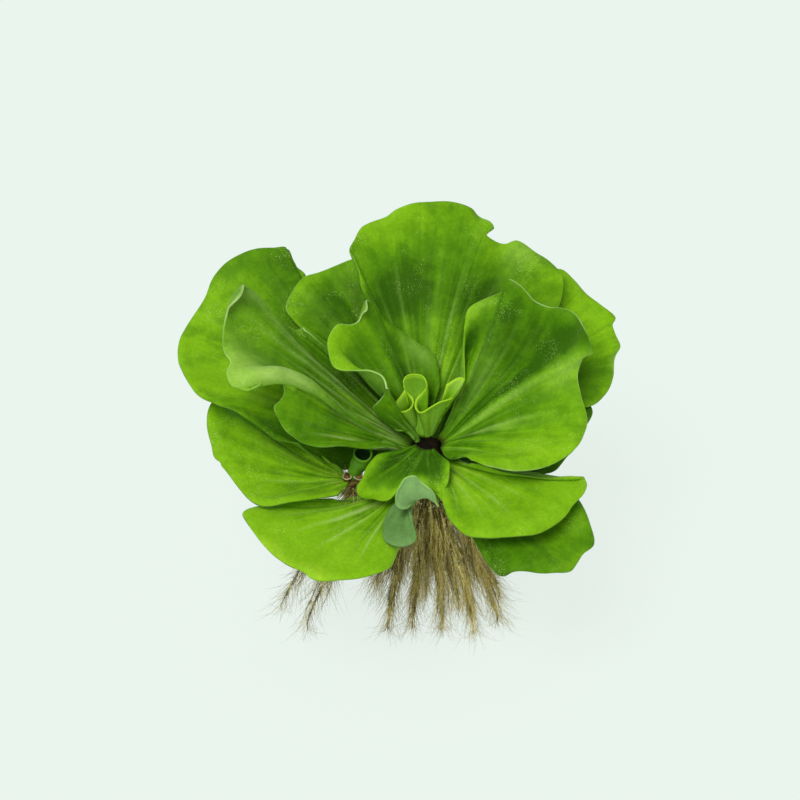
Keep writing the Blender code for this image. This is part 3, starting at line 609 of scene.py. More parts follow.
class Graph:
    """A material's node tree, with a short call for each kind of node."""

    def __init__(self, name):
        self.material = bpy.data.materials.new(name)
        self.material.use_nodes = True
        self.tree = self.material.node_tree
        self.shader = self.tree.nodes["Principled BSDF"]

    def link(self, value, socket):
        if isinstance(value, bpy.types.NodeSocket):
            self.tree.links.new(value, socket)
        else:
            socket.default_value = value

    def node(self, kind, **settings):
        made = self.tree.nodes.new(kind)
        for key, value in settings.items():
            setattr(made, key, value)
        return made

    def attribute(self, name):
        return self.node("ShaderNodeAttribute", attribute_name=name).outputs["Fac"]

    def position(self):
        return self.node("ShaderNodeTexCoord").outputs["Object"]

    def math(self, operation, a, b=0.0):
        made = self.node("ShaderNodeMath", operation=operation)
        for socket, value in zip(made.inputs, (a, b)):
            self.link(value, socket)
        return made.outputs[0]

    def times(self, a, b):
        return self.math("MULTIPLY", a, b)

    def plus(self, a, b):
        return self.math("ADD", a, b)

    def vector(self, x, y, z=0.0):
        made = self.node("ShaderNodeCombineXYZ")
        for socket, value in zip(made.inputs, (x, y, z)):
            self.link(value, socket)
        return made.outputs[0]

    def noise(self, vector, scale, detail=2.0, rough=0.5):
        made = self.node("ShaderNodeTexNoise")
        self.link(vector, made.inputs["Vector"])
        made.inputs["Scale"].default_value = scale
        made.inputs["Detail"].default_value = detail
        made.inputs["Roughness"].default_value = rough
        return made.outputs["Fac"]

    def cells(self, vector, scale):
        made = self.node("ShaderNodeTexVoronoi")
        self.link(vector, made.inputs["Vector"])
        made.inputs["Scale"].default_value = scale
        return made.outputs["Distance"]

    def step(self, value, low, high, to_low=0.0, to_high=1.0):
        made = self.node("ShaderNodeMapRange", interpolation_type="SMOOTHSTEP")
        self.link(value, made.inputs["Value"])
        for socket, number in zip(made.inputs[1:5], (low, high, to_low, to_high)):
            socket.default_value = number
        return made.outputs["Result"]

    def mix(self, share, a, b, blend="MIX"):
        made = self.node("ShaderNodeMix", data_type="RGBA", blend_type=blend)
        self.link(share, made.inputs[0])
        for socket, value in ((made.inputs[6], a), (made.inputs[7], b)):
            self.link((*value, 1.0) if isinstance(value, tuple) else value, socket)
        return made.outputs[2]

    def bump(self, height, distance, strength=1.0):
        made = self.node("ShaderNodeBump")
        self.link(height, made.inputs["Height"])
        made.inputs["Distance"].default_value = distance
        made.inputs["Strength"].default_value = strength
        return made.outputs["Normal"]

    def finish(self, color, roughness, normal=None, **sockets):
        self.link(color, self.shader.inputs["Base Color"])
        self.link(roughness, self.shader.inputs["Roughness"])
        if normal is not None:
            self.link(normal, self.shader.inputs["Normal"])
        for key, value in sockets.items():
            self.shader.inputs[key.replace("_", " ")].default_value = value
        return self.material


# ---------------------------------------------------------------- leaves

def fan_streaks(g, along, across_rate, along_rate, place, rough):
    """Streaks that fan out with the veins."""
    fan = g.vector(g.times(g.attribute("vein_place"), across_rate), g.times(along, along_rate), place)
    return g.noise(fan, 1.0, 3, rough)


def leaf_brightness(g, spot, along, middle, thin_streaks):
    """How bright the green is at each place, from deep at 0 to lime above 1, painted light and shade
    included.
    """
    large = g.noise(spot, BROAD, 3, 0.55)
    streaks = fan_streaks(g, along, 1.7, 0.9, 0.0, 0.55)
    bright = g.plus(g.attribute("tone"), g.step(large, 0.30, 0.70, -0.13, 0.13))
    bright = g.plus(bright, g.step(middle, 0.25, 0.75, -0.09, 0.09))
    streak_height = g.step(along, 0.15, 0.95, 0.28, 0.06)
    bright = g.plus(bright, g.times(streak_height, g.step(streaks, 0.30, 0.70, -1.0, 1.0)))
    thin_height = g.step(along, 0.2, 0.8, 0.05, 0.03)
    return g.plus(bright, g.times(thin_height, g.step(thin_streaks, 0.3, 0.7, -1.0, 1.0)))


def vein_lines(g, spot, along):
    """Pale lines along the veins, some stronger than others, with a thinner line between each two."""
    gap = g.attribute("vein_gap")
    wander = g.times(g.math("SUBTRACT", g.noise(spot, 90, 1), 0.5), 0.18)
    shifted = g.plus(g.attribute("vein_place"), wander)
    half_on = g.plus(shifted, 0.5)
    chosen = g.node("ShaderNodeTexWhiteNoise", noise_dimensions="1D")
    g.link(g.math("FLOOR", half_on), chosen.inputs["W"])
    strong = g.step(chosen.outputs["Value"], 0.2, 0.8)
    from_vein = g.times(g.math("PINGPONG", shifted, 0.5), gap)
    from_between = g.times(g.math("PINGPONG", half_on, 0.5), gap)
    main_line = g.times(g.step(from_vein, 0.05, 1.15, 1.0, 0.0), strong)
    thin_line = g.times(g.step(from_between, 0.05, 0.5, 0.22, 0.0), g.step(along, 0.25, 0.5))
    fade = g.times(g.step(along, 0.92, 0.45), g.step(along, 0.0, 0.2))
    lines = g.times(g.math("MAXIMUM", main_line, thin_line), fade)
    return g.times(lines, g.step(g.noise(spot, 60, 2), 0.35, 0.65, 0.35, 1.0))


def upper_color(g, look, bright, lines, middle):
    """The upper side, with its pale veins, and pale streaks and painted highlights."""
    color = g.mix(g.step(bright, 0.0, 0.45), DEEP_GREEN, MIDDLE_GREEN)
    color = g.mix(g.step(bright, 0.35, 0.85), color, BRIGHT_GREEN)
    color = g.mix(g.step(bright, 0.80, 1.25), color, LIME_GREEN)
    if "young" in look:
        color = g.mix(look["young"], color, YOUNG_GREEN)
    color = g.mix(g.times(lines, look["vein_lines"]), color, VEIN_GREEN)
    soft = g.step(middle, 0.25, 0.75, 0.7, 1.1)
    # Pale streaks, and painted highlights on lit crests and lips.
    return g.mix(g.times(g.attribute("pale"), soft), color, PALE_GREEN)


def under_color(g, look, bright, lines):
    """The underside, paler, and blue-grey where the look says so."""
    low_green, high_green = (DULL_GREEN, GREY_GREEN) if look.get("grey") else (UNDER_GREEN, UNDER_PALE)
    color = g.mix(g.step(bright, 0.0, 0.9), low_green, high_green)
    color = g.mix(g.step(bright, 0.0, -0.7), color, DEEP_GREEN)
    color = g.mix(g.times(lines, 0.3), color, VEIN_GREEN)
    if "young" in look:
        color = g.mix(look["young"], color, YOUNG_GREEN)
        color = g.mix(g.attribute("pale"), color, LIME_GREEN)
    return color


def with_specks(g, look, spot, fine, color):
    """The colour with a fine mottle, and with pale specks painted where the velvet's hairs glint: painted
    highlights.
    """
    mottle = g.step(fine, 0.3, 0.7, 0.92, 1.07)
    color = g.mix(1.0, color, g.vector(mottle, mottle, mottle), "MULTIPLY")
    dots = g.step(g.cells(spot, SPECK_CELLS), 0.10, 0.34, 1.0, 0.0)
    scatter = g.step(g.noise(spot, 90, 3, 0.7), 0.50, 0.68)
    specks = g.times(g.times(dots, scatter), look.get("specks", SPECK_STRENGTH))
    # Painted glints: pale specks where the velvet's hairs catch the light.
    return g.mix(specks, color, HAIR_GLINT_SPECK)


def with_rim_line(g, look, spot, along, color):
    """The colour with the line along the rim, broken up by a noise unless it is wide."""
    from_side = g.plus(g.attribute("side_near"), g.step(along, 0.45, 0.85, 1.2, 0.0))
    edge = g.math("MINIMUM", g.attribute("rim_near"), from_side)
    breaks = g.noise(spot, 55, 2)
    if not look.get("pale_rim"):
        line = g.times(g.step(edge, 0.05, 0.40, 1.0, 0.0), g.step(breaks, 0.40, 0.65, 0.1, 0.8))
        return g.mix(line, color, DARK_RIM)
    width = look.get("line_width", RIM_LINE_WIDTH)
    patchy = g.step(breaks, 0.40, 0.62, 0.08, 0.8) if width < 1 else 0.9
    line = g.times(g.step(edge, 0.1 * width, width, 1.0, 0.0), patchy)
    line = g.times(line, g.attribute("line"))
    return g.mix(line, color, look.get("line_color", PALE_RIM))


def leaf_material(name, look):
    """Velvety leaf: fan streaks and pale veins, mottled green with painted light and shade, a thin rim line
    and glint specks.
    """
    g = Graph(name)
    spot, along = g.position(), g.attribute("along")
    middle = g.noise(spot, MIDDLE, 3, 0.6)
    fine = g.noise(spot, FINE, 3, 0.65)
    thin_streaks = fan_streaks(g, along, 7.0, 2.5, 3.0, 0.6)
    bright = leaf_brightness(g, spot, along, middle, thin_streaks)
    lines = vein_lines(g, spot, along)
    below = g.math("MAXIMUM", g.math("SUBTRACT", 1.0, g.attribute("upper")), look.get("grey_top", 0.0))
    color = g.mix(below, upper_color(g, look, bright, lines, middle), under_color(g, look, bright, lines))
    color = with_specks(g, look, spot, fine, color)
    color = with_rim_line(g, look, spot, along, color)
    # Painted shade at the leaf's foot, where it goes down into the dark crown.
    color = g.mix(g.step(along, 0.07, 0.0, 0.0, 0.75), color, FOOT_SHADE)

    height = g.plus(g.times(g.noise(spot, DOWN, 2, 0.6), 0.30), g.times(fine, 0.6))
    height = g.plus(height, g.times(thin_streaks, g.step(along, 0.1, 0.8, 0.2, 0.08)))
    height = g.math("SUBTRACT", height, g.times(lines, 0.7))
    normal = g.bump(height, 0.00025, 0.9)
    roughness = g.step(fine, 0.3, 0.7, 0.42, 0.60)
    return g.finish(color, roughness, normal, Specular_IOR_Level=0.20, Specular_Tint=LEAF_SHINE,
                    Sheen_Weight=0.03, Sheen_Roughness=0.5, Sheen_Tint=LEAF_SHEEN,
                    Subsurface_Weight=0.10, Subsurface_Scale=0.002, Subsurface_Radius=(0.6, 1.0, 0.12))


class Blade:
    """A leaf's middle surface, which gives its points at places across it and shares along its veins."""

    def __init__(self, leaf):
        self.leaf = leaf
        self.azimuth, self.height, radius, self.wrap = leaf["base"]
        self.radius = radius - EMBED
        self.centre = leaf.get("centre", OFFSET_CENTRE if leaf.get("on_offset") else (0.0, 0.0))
        self.rim, self.rim_length = spline_through(leaf["rim"], RIM_SAMPLES)
        self.calm = smoothed(self.rim, leaf.get("calm", RIM_CALM_SHARE))

    def points(self, places, along):
        """places has one value for each column, and along a row of values for each row."""
        even = np.linspace(0, 1, RIM_SAMPLES + 1)
        rim, calm = points_at(places, even, self.rim), points_at(places, even, self.calm)
        turn = np.radians(self.azimuth + (0.5 - places) * self.wrap)
        base = np.stack([self.centre[0] + self.radius * np.cos(turn),
                         self.centre[1] + self.radius * np.sin(turn),
                         np.full(len(places), float(self.height))], axis=1)
        out = calm - base
        swing = np.arctan2(out[:, 1], out[:, 0]) - math.radians(self.azimuth)
        swing = np.angle(np.exp(1j * swing))
        heading = math.radians(self.azimuth) + self.leaf.get("fan", VEIN_FAN) * swing
        rises = np.atleast_1d(self.leaf["rise"])
        rise = np.radians(np.interp(places, np.linspace(0, 1, len(rises)), rises))
        leave = np.stack([np.cos(rise) * np.cos(heading), np.cos(rise) * np.sin(heading), np.sin(rise)],
                         axis=1)
        reach = self.leaf.get("reach", VEIN_REACH) * np.linalg.norm(out, axis=1)[:, None]
        middle = base + reach * leave
        t = along[..., None]
        surface = (1 - t) ** 2 * base + 2 * t * (1 - t) * middle + t**2 * calm
        surface = surface + t ** self.leaf.get("hold", RIM_WAVE_POWER) * (rim - calm)
        for across, across_width, peak, along_width, shift in self.leaf.get("folds", ()):
            amount = bell(places, across, across_width) * bell(along, peak, along_width)
            amount = amount * smoothstep(0, 0.12, along) * smoothstep(0, 0.12, 1 - along)
            surface = surface + amount[..., None] * np.array(shift, float)
        return surface


def soft_spots(places, along, spots):
    """The sum of soft round spots of a leaf: (across, along, width across, width along, amount)."""
    total = np.zeros(along.shape)
    for across, peak, across_width, along_width, amount in spots:
        away = ((places - across) / across_width) ** 2 + ((along - peak) / along_width) ** 2
        total += amount * np.exp(-away)
    return total


def facing(surface):
    """Unit normals of a grid of points, on the side that faces up or to the plant's axis."""
    return unit(np.cross(np.gradient(surface, axis=1), np.gradient(surface, axis=0)))


def roll_edge(surface, normals, distance, lengths, angles):
    """Rolls a grid's last rows over, by each column's angle in degrees within its length of the edge.

    The fold's outermost line stays where the flat edge was, so the leaf keeps its outline.
    """
    rolled = surface.copy()
    for column in np.flatnonzero(np.abs(angles) > 1):
        away = distance[:, column]
        length = min(lengths[column], MOST_ROLL_SHARE * away.max())
        if length < 0.3:
            continue
        line = points_at(-length, -away, surface[:, column])
        first = np.searchsorted(-away, -length)
        out = surface[-1, column] - line
        chord = np.linalg.norm(out)
        out = out / chord
        normal = normals[first, column]
        normal = unit(normal - (normal @ out) * out)
        share = (1 - away[first:] / length)[:, None]
        turn = math.radians(angles[column])
        radius = chord / math.sin(min(abs(turn), math.pi / 2))
        bend = share * abs(turn)
        arc = radius * np.sin(bend) * out + math.copysign(radius, turn) * (1 - np.cos(bend)) * normal
        rolled[first:, column] += arc - share * chord * out
    return rolled


def roll_rim(surface, places, distance, leaf, rim_length, seed):
    """The leaf's rim, wavy all round, with its own curls."""
    flat = np.stack([places * rim_length, np.zeros_like(places), np.zeros_like(places)], axis=1)
    length, lean = leaf.get("roll", (WAVE_LENGTH, WAVE_LEAN))
    angles = lean + WAVE_ANGLE * ripples(flat, seed + 300, 9, 26)
    total = np.full_like(places, 1.0)
    lengths = np.full_like(places, float(length))
    for across, width, curl_length, angle in leaf.get("curls", ()):
        weight = bell(places, across, width)
        angles = angles * (1 - weight) + angle * weight
        lengths += 6 * weight * curl_length
        total += 6 * weight
    return roll_edge(surface, facing(surface), distance, lengths / total, angles)


def two_sided_faces(shared):
    """Faces of a leaf's upper and lower grid, which share the points marked, closed along the foot."""
    upper = np.arange(shared.size).reshape(shared.shape)
    lower = upper.copy()
    lower[~shared] = upper.size + np.arange((~shared).sum())
    before, after = slice(None, -1), slice(1, None)
    corners = [(before, before), (before, after), (after, after), (after, before)]
    faces = np.vstack([np.stack([upper[c] for c in corners], axis=-1).reshape(-1, 4),
                       np.stack([lower[c] for c in reversed(corners)], axis=-1).reshape(-1, 4),
                       np.stack([lower[0, :-1], lower[0, 1:], upper[0, 1:], upper[0, :-1]], axis=-1)])
    faces = [tuple(dict.fromkeys(face)) for face in faces.tolist()]
    return [face for face in faces if len(face) > 2]


def leaf_grid(blade):
    """A grid over a leaf, finer near its edges: places across it and shares along its veins.

    It also gives the veins' lengths and the leaf's widths there, in mm.
    """
    coarse_places, coarse_rows = np.linspace(0, 1, COARSE_COLUMNS), np.linspace(0, 1, COARSE_ROWS)
    coarse = blade.points(coarse_places, np.repeat(coarse_rows[:, None], COARSE_COLUMNS, axis=1))
    vein_length = np.linalg.norm(np.diff(coarse, axis=0), axis=2).sum(axis=0)
    row_length = np.linalg.norm(np.diff(coarse, axis=1), axis=2).sum(axis=1)

    columns = max(24, round(blade.rim_length / COLUMN_STEP))
    steps = np.array(EDGE_STEPS) / row_length[WIDEST_ROW]
    inner = np.linspace(steps[-1], 1 - steps[-1], columns)[1:-1]
    places = np.concatenate([steps, inner, 1 - steps[::-1]])
    length = np.interp(places, coarse_places, vein_length)
    rows = max(14, round(vein_length.max() / ROW_STEP))
    body = (1 - (1 - np.linspace(0, 1, rows)) ** ROW_CROWDING)[:, None] * (1 - EDGE_ROWS[-1] / length)
    edge_rows = 1 - np.array(EDGE_ROWS[-2::-1])[:, None] / length
    along = np.vstack([body, edge_rows])
    return places, along, length, np.interp(along, coarse_rows, row_length)


def leaf_relief(surface, places, along, vein_gap, edge, look, seed):
    """How far ribs, pleats and ripples raise a leaf's surface, and how far its margin turns down, mm."""
    vein_place = np.broadcast_to(places * look["veins"], along.shape)
    draw = np.random.default_rng(seed)
    strength = draw.uniform(0.4, 1.4, look["veins"] + 2)
    near = np.abs(vein_place - np.round(vein_place))
    groove = bell(near, 0, 0.26) * strength[np.round(vein_place).astype(int)]
    relief = (0.35 - groove) * RIB_HEIGHT * (1 - 0.7 * smoothstep(0.6, 1.0, along))
    for _ in range(PLEATS):
        turns, phase = draw.uniform(0.12, 0.42) * look["veins"], draw.uniform(0, 2 * math.pi)
        pleat = np.sin(2 * math.pi * turns * places + phase) * np.sin(math.pi * along)
        relief = relief + 0.5 * PLEAT_HEIGHT * pleat
    depth = look.get("relief", 1.0)
    relief = relief * smoothstep(1.0, 4.0, vein_gap) * depth
    relief = relief + ripples(surface, seed, 11, 30) * RIPPLE_HEIGHT * smoothstep(0, 0.5, along) * depth
    turned_down = (1 - np.clip(edge / EDGE_ROLL_WIDTH, 0, 1)) ** 2
    return relief - EDGE_ROLL * turned_down * smoothstep(0.1, 0.4, along)


def sheet_points(surface, along, edge, look, shared):
    """Points of the upper and then the lower sheet, which come together at the shared ones."""
    thin, thick = look.get("rim_thickness", RIM_THICKNESS), look.get("base_thickness", BASE_THICKNESS)
    half = 0.5 * (thin + (thick - thin) * (1 - along) ** 1.5)
    round_off = np.sqrt(np.clip(1 - (1 - np.clip(edge / EDGE_ROUND, 0, 1)) ** 2, 0, 1))
    offset = (half * round_off)[..., None] * facing(surface)
    return np.vstack([(surface + offset).reshape(-1, 3), (surface - offset)[~shared]])


def build_leaf(name, leaf, look, seed):
    """A leaf with veins, pleats and a rolled rim in its shape, and rounded edges."""
    blade = Blade(leaf)
    places, along, length, local_width = leaf_grid(blade)
    surface = blade.points(places, along)
    vein_gap = local_width / look["veins"]
    rim_near = (1 - along) * length
    side_near = np.minimum(places, 1 - places) * local_width
    edge = np.minimum(rim_near, side_near)
    relief = leaf_relief(surface, places, along, vein_gap, edge, look, seed)
    surface = surface + relief[..., None] * facing(surface)
    surface = roll_rim(surface, places, rim_near, leaf, blade.rim_length, seed)

    shared = np.zeros(along.shape, bool)
    shared[-1] = shared[:, 0] = shared[:, -1] = True
    grids = {
        "vein_place": np.broadcast_to(places * look["veins"], along.shape), "vein_gap": vein_gap,
        "along": along, "rim_near": rim_near, "side_near": side_near,
        # tone is partly the leaf's own green and partly painted light and shade: painted shade towards the
        # foot, painted light towards the rim, and soft spots of painted light and shade. pale adds pale
        # streaks and painted highlights.
        "tone": look["bright"] + 0.12 * (along - 0.5) + soft_spots(places, along, look.get("light_and_shade_spots", ())),
        "pale": np.clip(soft_spots(places, along, look.get("pale", ())), 0, 0.8),
        "line": np.clip(1.0 + soft_spots(places, along, look.get("lines", ())), 0, 8),
    }
    attributes = {key: np.concatenate([grid.ravel(), grid[~shared]]) for key, grid in grids.items()}
    attributes["upper"] = np.concatenate([np.where(shared, 0.5, 1.0).ravel(), np.zeros((~shared).sum())])
    points = sheet_points(surface, along, edge, look, shared)
    return mesh_object(name, points, two_sided_faces(shared), attributes, leaf_material(name, look))


# ---------------------------------------------------------------- roots

def root_material(name, dark, light):
    """Fibre with streaks of painted shade and painted light. tone goes from dark at 0 to light at 1, and
    then pale glints, a painted highlight.

    tip makes a place greyer, and glint gives it bright spots.
    """
    g = Graph(name)
    tone, tip, glint = g.attribute("tone"), g.attribute("tip"), g.attribute("glint")
    color = g.mix(tone, dark, light)
    color = g.mix(g.math("SUBTRACT", tone, 1.0), color, ROOT_GLINT)
    spot = g.position()
    drawn_out = g.node("ShaderNodeVectorMath", operation="MULTIPLY")
    g.link(spot, drawn_out.inputs[0])
    drawn_out.inputs[1].default_value = ROOT_STREAK_STRETCH
    streak = g.noise(drawn_out.outputs[0], ROOT_STREAKS, 2, 0.5)
    # Painted shade in the dark streaks, and painted light in the lit ones.
    color = g.mix(g.step(streak, 0.38, 0.50, 0.6, 0.0), color, dark)
    color = g.mix(g.step(streak, 0.50, 0.62, 0.0, 0.7), color, ROOT_LIT)
    color = g.mix(g.times(tip, 0.6), color, ROOT_TIP)
    grain = g.noise(spot, FINE, 3, 0.6)
    color = g.mix(g.step(grain, 0.48, 0.64, 0.0, 0.5), color, dark)
    sparkle = g.step(g.noise(spot, GRAIN, 1), 0.57, 0.64)
    color = g.mix(g.times(glint, sparkle), color, ROOT_GLINT)
    return g.finish(color, g.step(grain, 0.3, 0.7, 0.32, 0.5), g.bump(grain, 0.0002, 0.7),
                    Specular_IOR_Level=0.15, Specular_Tint=ROOT_SHINE)


def root_path(centre, top, start, foot, seed):
    """Points down a root from inside its stem to its foot."""
    angle, distance = start
    head = np.array([centre[0] + distance * math.cos(math.radians(angle)),
                     centre[1] + distance * math.sin(math.radians(angle)), top + 1.0])
    foot = np.array(foot, float)
    ankle = foot + np.array([0, 0, ROOT_ANKLE])
    bend = (1 - ROOT_BEND_SHARE) * head + ROOT_BEND_SHARE * foot
    bend[2] = ROOT_BEND_HEIGHT * top
    path = arc_between(head, bend, ankle, ROOT_SAMPLES)
    sway = np.stack([ripples(path, seed, 14, 30), ripples(path, seed + 500, 14, 30), np.zeros(len(path))],
                    axis=1)
    t = np.linspace(0, 1, ROOT_SAMPLES)[:, None]
    path = path + 0.9 * sway * (4 * t * (1 - t))
    last = foot + np.array([0, 0, 0.8])
    return np.vstack([path, (path[-1] + last) / 2, last])


def sweep(path, radii, sides, first=0):
    """Points and faces of a round tube along the path, closed at both ends."""
    way = unit(np.gradient(path, axis=0))
    aside = np.where(np.abs(way[:, :1]) > 0.8, np.array([0.0, 1, 0]), np.array([1.0, 0, 0]))
    side = unit(np.cross(way, aside))
    rings = ring_points(path, side, np.cross(way, side), radii, sides)
    return rings.reshape(-1, 3), tube_faces(len(path), sides, first)


def hairs(starts, ways, lengths, droop, radius, draw, first):
    """Fine hairs as three-sided spikes: points, faces, and each point's share of the way to its tip."""
    count = len(starts)
    shares = np.array(HAIR_SHARES)
    bend = draw.normal(size=(count, 3)) * 0.12
    paths = (starts[:, None] + ways[:, None] * (lengths[:, None] * shares)[..., None]
             + (np.array([0, 0, -droop]) + bend)[:, None] * (lengths[:, None] * shares**2)[..., None])
    paths[..., 2] = np.maximum(paths[..., 2], 0.12)
    side = unit(np.cross(ways, draw.normal(size=(count, 3))))
    angles = (np.array([0, 2, 4]) * math.pi / 3)[None, :, None]
    ring = swung(angles, side[:, None], np.cross(ways, side)[:, None])
    widths = radius * np.array(HAIR_WIDTHS)
    body = paths[:, :3, None] + widths[None, :, None, None] * ring[:, None]
    points = np.concatenate([body.reshape(count, 9, 3), paths[:, 3:4]], axis=1)
    one = []
    for level in (0, 3):
        for k in range(3):
            n = (k + 1) % 3
            one.append((level + k, level + n, level + 3 + n))
            one.append((level + k, level + 3 + n, level + 3 + k))
    one += [(6, 7, 9), (7, 8, 9), (8, 6, 9), (2, 1, 0)]
    faces = (np.array(one)[None] + (first + HAIR_POINTS * np.arange(count))[:, None, None]).reshape(-1, 3)
    tip = np.tile(np.repeat(shares, (3, 3, 3, 1)), count)
    return points.reshape(-1, 3), faces.tolist(), tip


def across_frame(path):
    """Two directions across a path."""
    way = unit(np.gradient(path, axis=0))
    side = unit(np.cross(way, np.array([0.0, 1.0, 0.0]) + 0.01))
    return side, np.cross(way, side)


class Bundle:
    """A root's tubes and hairs, gathered for one mesh, with their colours' attributes."""

    def __init__(self):
        self.points, self.faces = [], []
        self.tone, self.tip, self.glint = [], [], []
        self.count = 0

    def add(self, points, faces, tone, tip, glint):
        self.points.append(points)
        self.faces += faces
        self.count += len(points)
        for parts, values in ((self.tone, tone), (self.tip, tip), (self.glint, glint)):
            parts.append(np.broadcast_to(values, len(points)))

    def mesh(self, name, material):
        attributes = {"tone": np.concatenate(self.tone), "tip": np.clip(np.concatenate(self.tip), 0, 1.5),
                      "glint": np.concatenate(self.glint)}
        return mesh_object(name, np.vstack(self.points), self.faces, attributes, material)


def add_core(bundle, path, share, thickness, seed):
    """The root itself, which gets thinner on its way down."""
    radii = np.interp(share, CORE_SHARES, CORE_RADII)
    radii = thickness * radii * (1 + 0.12 * ripples(path, seed + 7, 2, 5))
    tone = np.clip(0.05 + 0.35 * share + 0.1 * ripples(path, seed + 9, 4, 9), 0, 1)
    points, faces = sweep(path, radii, CORE_SIDES)
    bundle.add(points, faces, np.repeat(tone, CORE_SIDES), 0.0, 0.35)


def add_strand(bundle, path, share, plume, thickness, draw):
    """A thinner strand that twists round the root and ends before it does. It returns the strand's line."""
    end = round(len(path) * draw.uniform(0.58, 0.95))
    turn = draw.uniform(0, 2 * math.pi) + draw.uniform(-2.5, 2.5) * share[:end]
    apart = plume * draw.uniform(0.40, 0.72) * (0.55 + 0.45 * smoothstep(0.0, 0.6, share[:end]))
    side, other = across_frame(path)
    thread = path[:end] + apart[:, None] * swung(turn[:, None], side[:end], other[:end])
    thread[:, 2] = np.maximum(thread[:, 2], 0.5)
    taper = np.interp(share[:end] / share[end - 1], *STRAND_TAPER)
    radii = thickness * draw.uniform(0.32, 0.72) * taper
    points, faces = sweep(thread, radii, STRAND_SIDES, bundle.count)
    tip = np.repeat(0.5 * share[:end], STRAND_SIDES)
    bundle.add(points, faces, draw.choice((0.0, 0.1, 0.4)), tip, 0.6)
    return thread


def hair_places(carriers, share, chances, count, span, draw):
    """Where hairs stand: their spots, the way down the root there, and how far down it each one is."""
    spots, ways, places = [], [], []
    for carrier, part in zip(carriers, draw.multinomial(count, chances)):
        u = draw.uniform(*span, part)
        low = np.minimum((u * (len(carrier) - 1)).astype(int), len(carrier) - 2)
        rest = (u * (len(carrier) - 1) - low)[:, None]
        spots.append(carrier[low] * (1 - rest) + carrier[low + 1] * rest)
        ways.append(unit(carrier[low + 1] - carrier[low]))
        places.append(share[low])
    return np.vstack(spots), np.vstack(ways), np.concatenate(places)


def add_hairs(bundle, carriers, share, kind, thin, shade, seed, draw):
    """Hairs of one kind, on the core and its strands."""
    amount, on_thin, on_core, span, wide, lengths, radius, bright = kind
    count = round(amount * (on_thin if thin else 1.0))
    chances = [on_core] + [(1 - on_core) / STRANDS] * STRANDS
    spots, ways, places = hair_places(carriers, share, chances, count, span, draw)
    out = unit(np.cross(ways, draw.normal(size=(count, 3))))
    open_angle = np.radians(draw.uniform(*wide, count))[:, None]
    reach = draw.uniform(*lengths, count)
    heading = swung(open_angle, ways, out)
    points, faces, along_hair = hairs(spots, heading, reach, 0.08, radius, draw, bundle.count)
    luck = draw.uniform(size=count)
    clump = ripples(spots * (1, 1, 0.45), seed + 21, 0.9, 2.6)
    deep = 0.36 + shade + 0.75 * places + 0.75 * clump
    # Pale hairs are painted glints: highlights in the clumps that catch the light.
    pale = (luck < bright) & (clump > 0.12)
    tone = np.where(pale, GLINT_HAIR_TONE, np.clip(draw.normal(deep, 0.12), 0.0, 1.2))
    greyer = np.interp(places, (0, 0.5, 1), (0.1, 0.7, 1.4))
    lit = (luck > 0.5) & (clump > 0)
    bundle.add(points, faces, np.repeat(tone, HAIR_POINTS), along_hair * np.repeat(greyer, HAIR_POINTS),
               np.repeat(lit.astype(float), HAIR_POINTS))


def build_root(name, centre, top, root, seed, material, thin):
    """A root with thinner strands twisting round it and long fine hairs that lean down from them all."""
    start, foot, plume = root
    thickness = THIN_ROOT_SHARE if thin else 1.0
    draw = np.random.default_rng(seed)
    shade = draw.uniform(-0.2, 0.3)
    path = root_path(centre, top, start, foot, seed)
    share = np.linspace(0, 1, len(path))
    bundle = Bundle()
    add_core(bundle, path, share, thickness, seed)
    strands = [add_strand(bundle, path, share, plume, thickness, draw) for _ in range(STRANDS)]
    for kind in HAIR_KINDS:
        add_hairs(bundle, [path] + strands, share, kind, thin, shade, seed, draw)
    return place(bundle.mesh(name + "_hairy", material), "root_fibre", name)


# ---------------------------------------------------------------- crown and offset

def brown_material(name, dark, light):
    """Dull lumpy stem tissue with a lighter grain."""
    g = Graph(name)
    spot = g.position()
    lump = g.noise(spot, LUMPS, 4, 0.65)
    grain = g.noise(spot, GRAIN, 3, 0.6)
    color = g.mix(g.step(lump, 0.38, 0.66), dark, light)
    color = g.mix(g.step(grain, 0.5, 0.75, 0.0, 0.5), color, tuple(min(1, c * 2.2) for c in light))
    height = g.plus(lump, g.times(grain, 0.4))
    return g.finish(color, 0.8, g.bump(height, 0.0006, 0.9), Specular_IOR_Level=0.1)


def turned(name, profile, centre, sides, lumps, seed, material):
    """A lumpy solid of revolution from (radius, height) pairs."""
    profile, _ = spline_through([(r, 0.0, z) for r, z in profile], 30)
    angles = full_turn(sides)
    rings = np.stack([centre[0] + profile[:, 0, None] * np.cos(angles),
                      centre[1] + profile[:, 0, None] * np.sin(angles),
                      np.repeat(profile[:, 2, None], sides, axis=1)], axis=-1)
    out = np.stack([np.cos(angles), np.sin(angles), np.zeros(sides)], axis=1)
    rings = rings + (lumps * ripples(rings, seed, 1.5, 5.0))[..., None] * out
    return mesh_object(name, rings.reshape(-1, 3), tube_faces(len(rings), sides), {}, material)


def sheath_material(name):
    """Green tube, paler at its lip, with painted shade inside."""
    g = Graph(name)
    spot = g.position()
    inside = g.attribute("inside")
    patch = g.noise(spot, LUMPS, 3, 0.6)
    color = g.mix(g.step(patch, 0.3, 0.7), SHEATH_GREEN, MIDDLE_GREEN)
    # Painted shade down the inside of the tube.
    color = g.mix(inside, color, SHEATH_INSIDE_SHADE)
    color = g.mix(g.times(g.attribute("lip"), 0.3), color, BRIGHT_GREEN)
    return g.finish(color, 0.5, g.bump(g.noise(spot, GRAIN, 3), 0.0002, 0.8), Specular_IOR_Level=0.3)


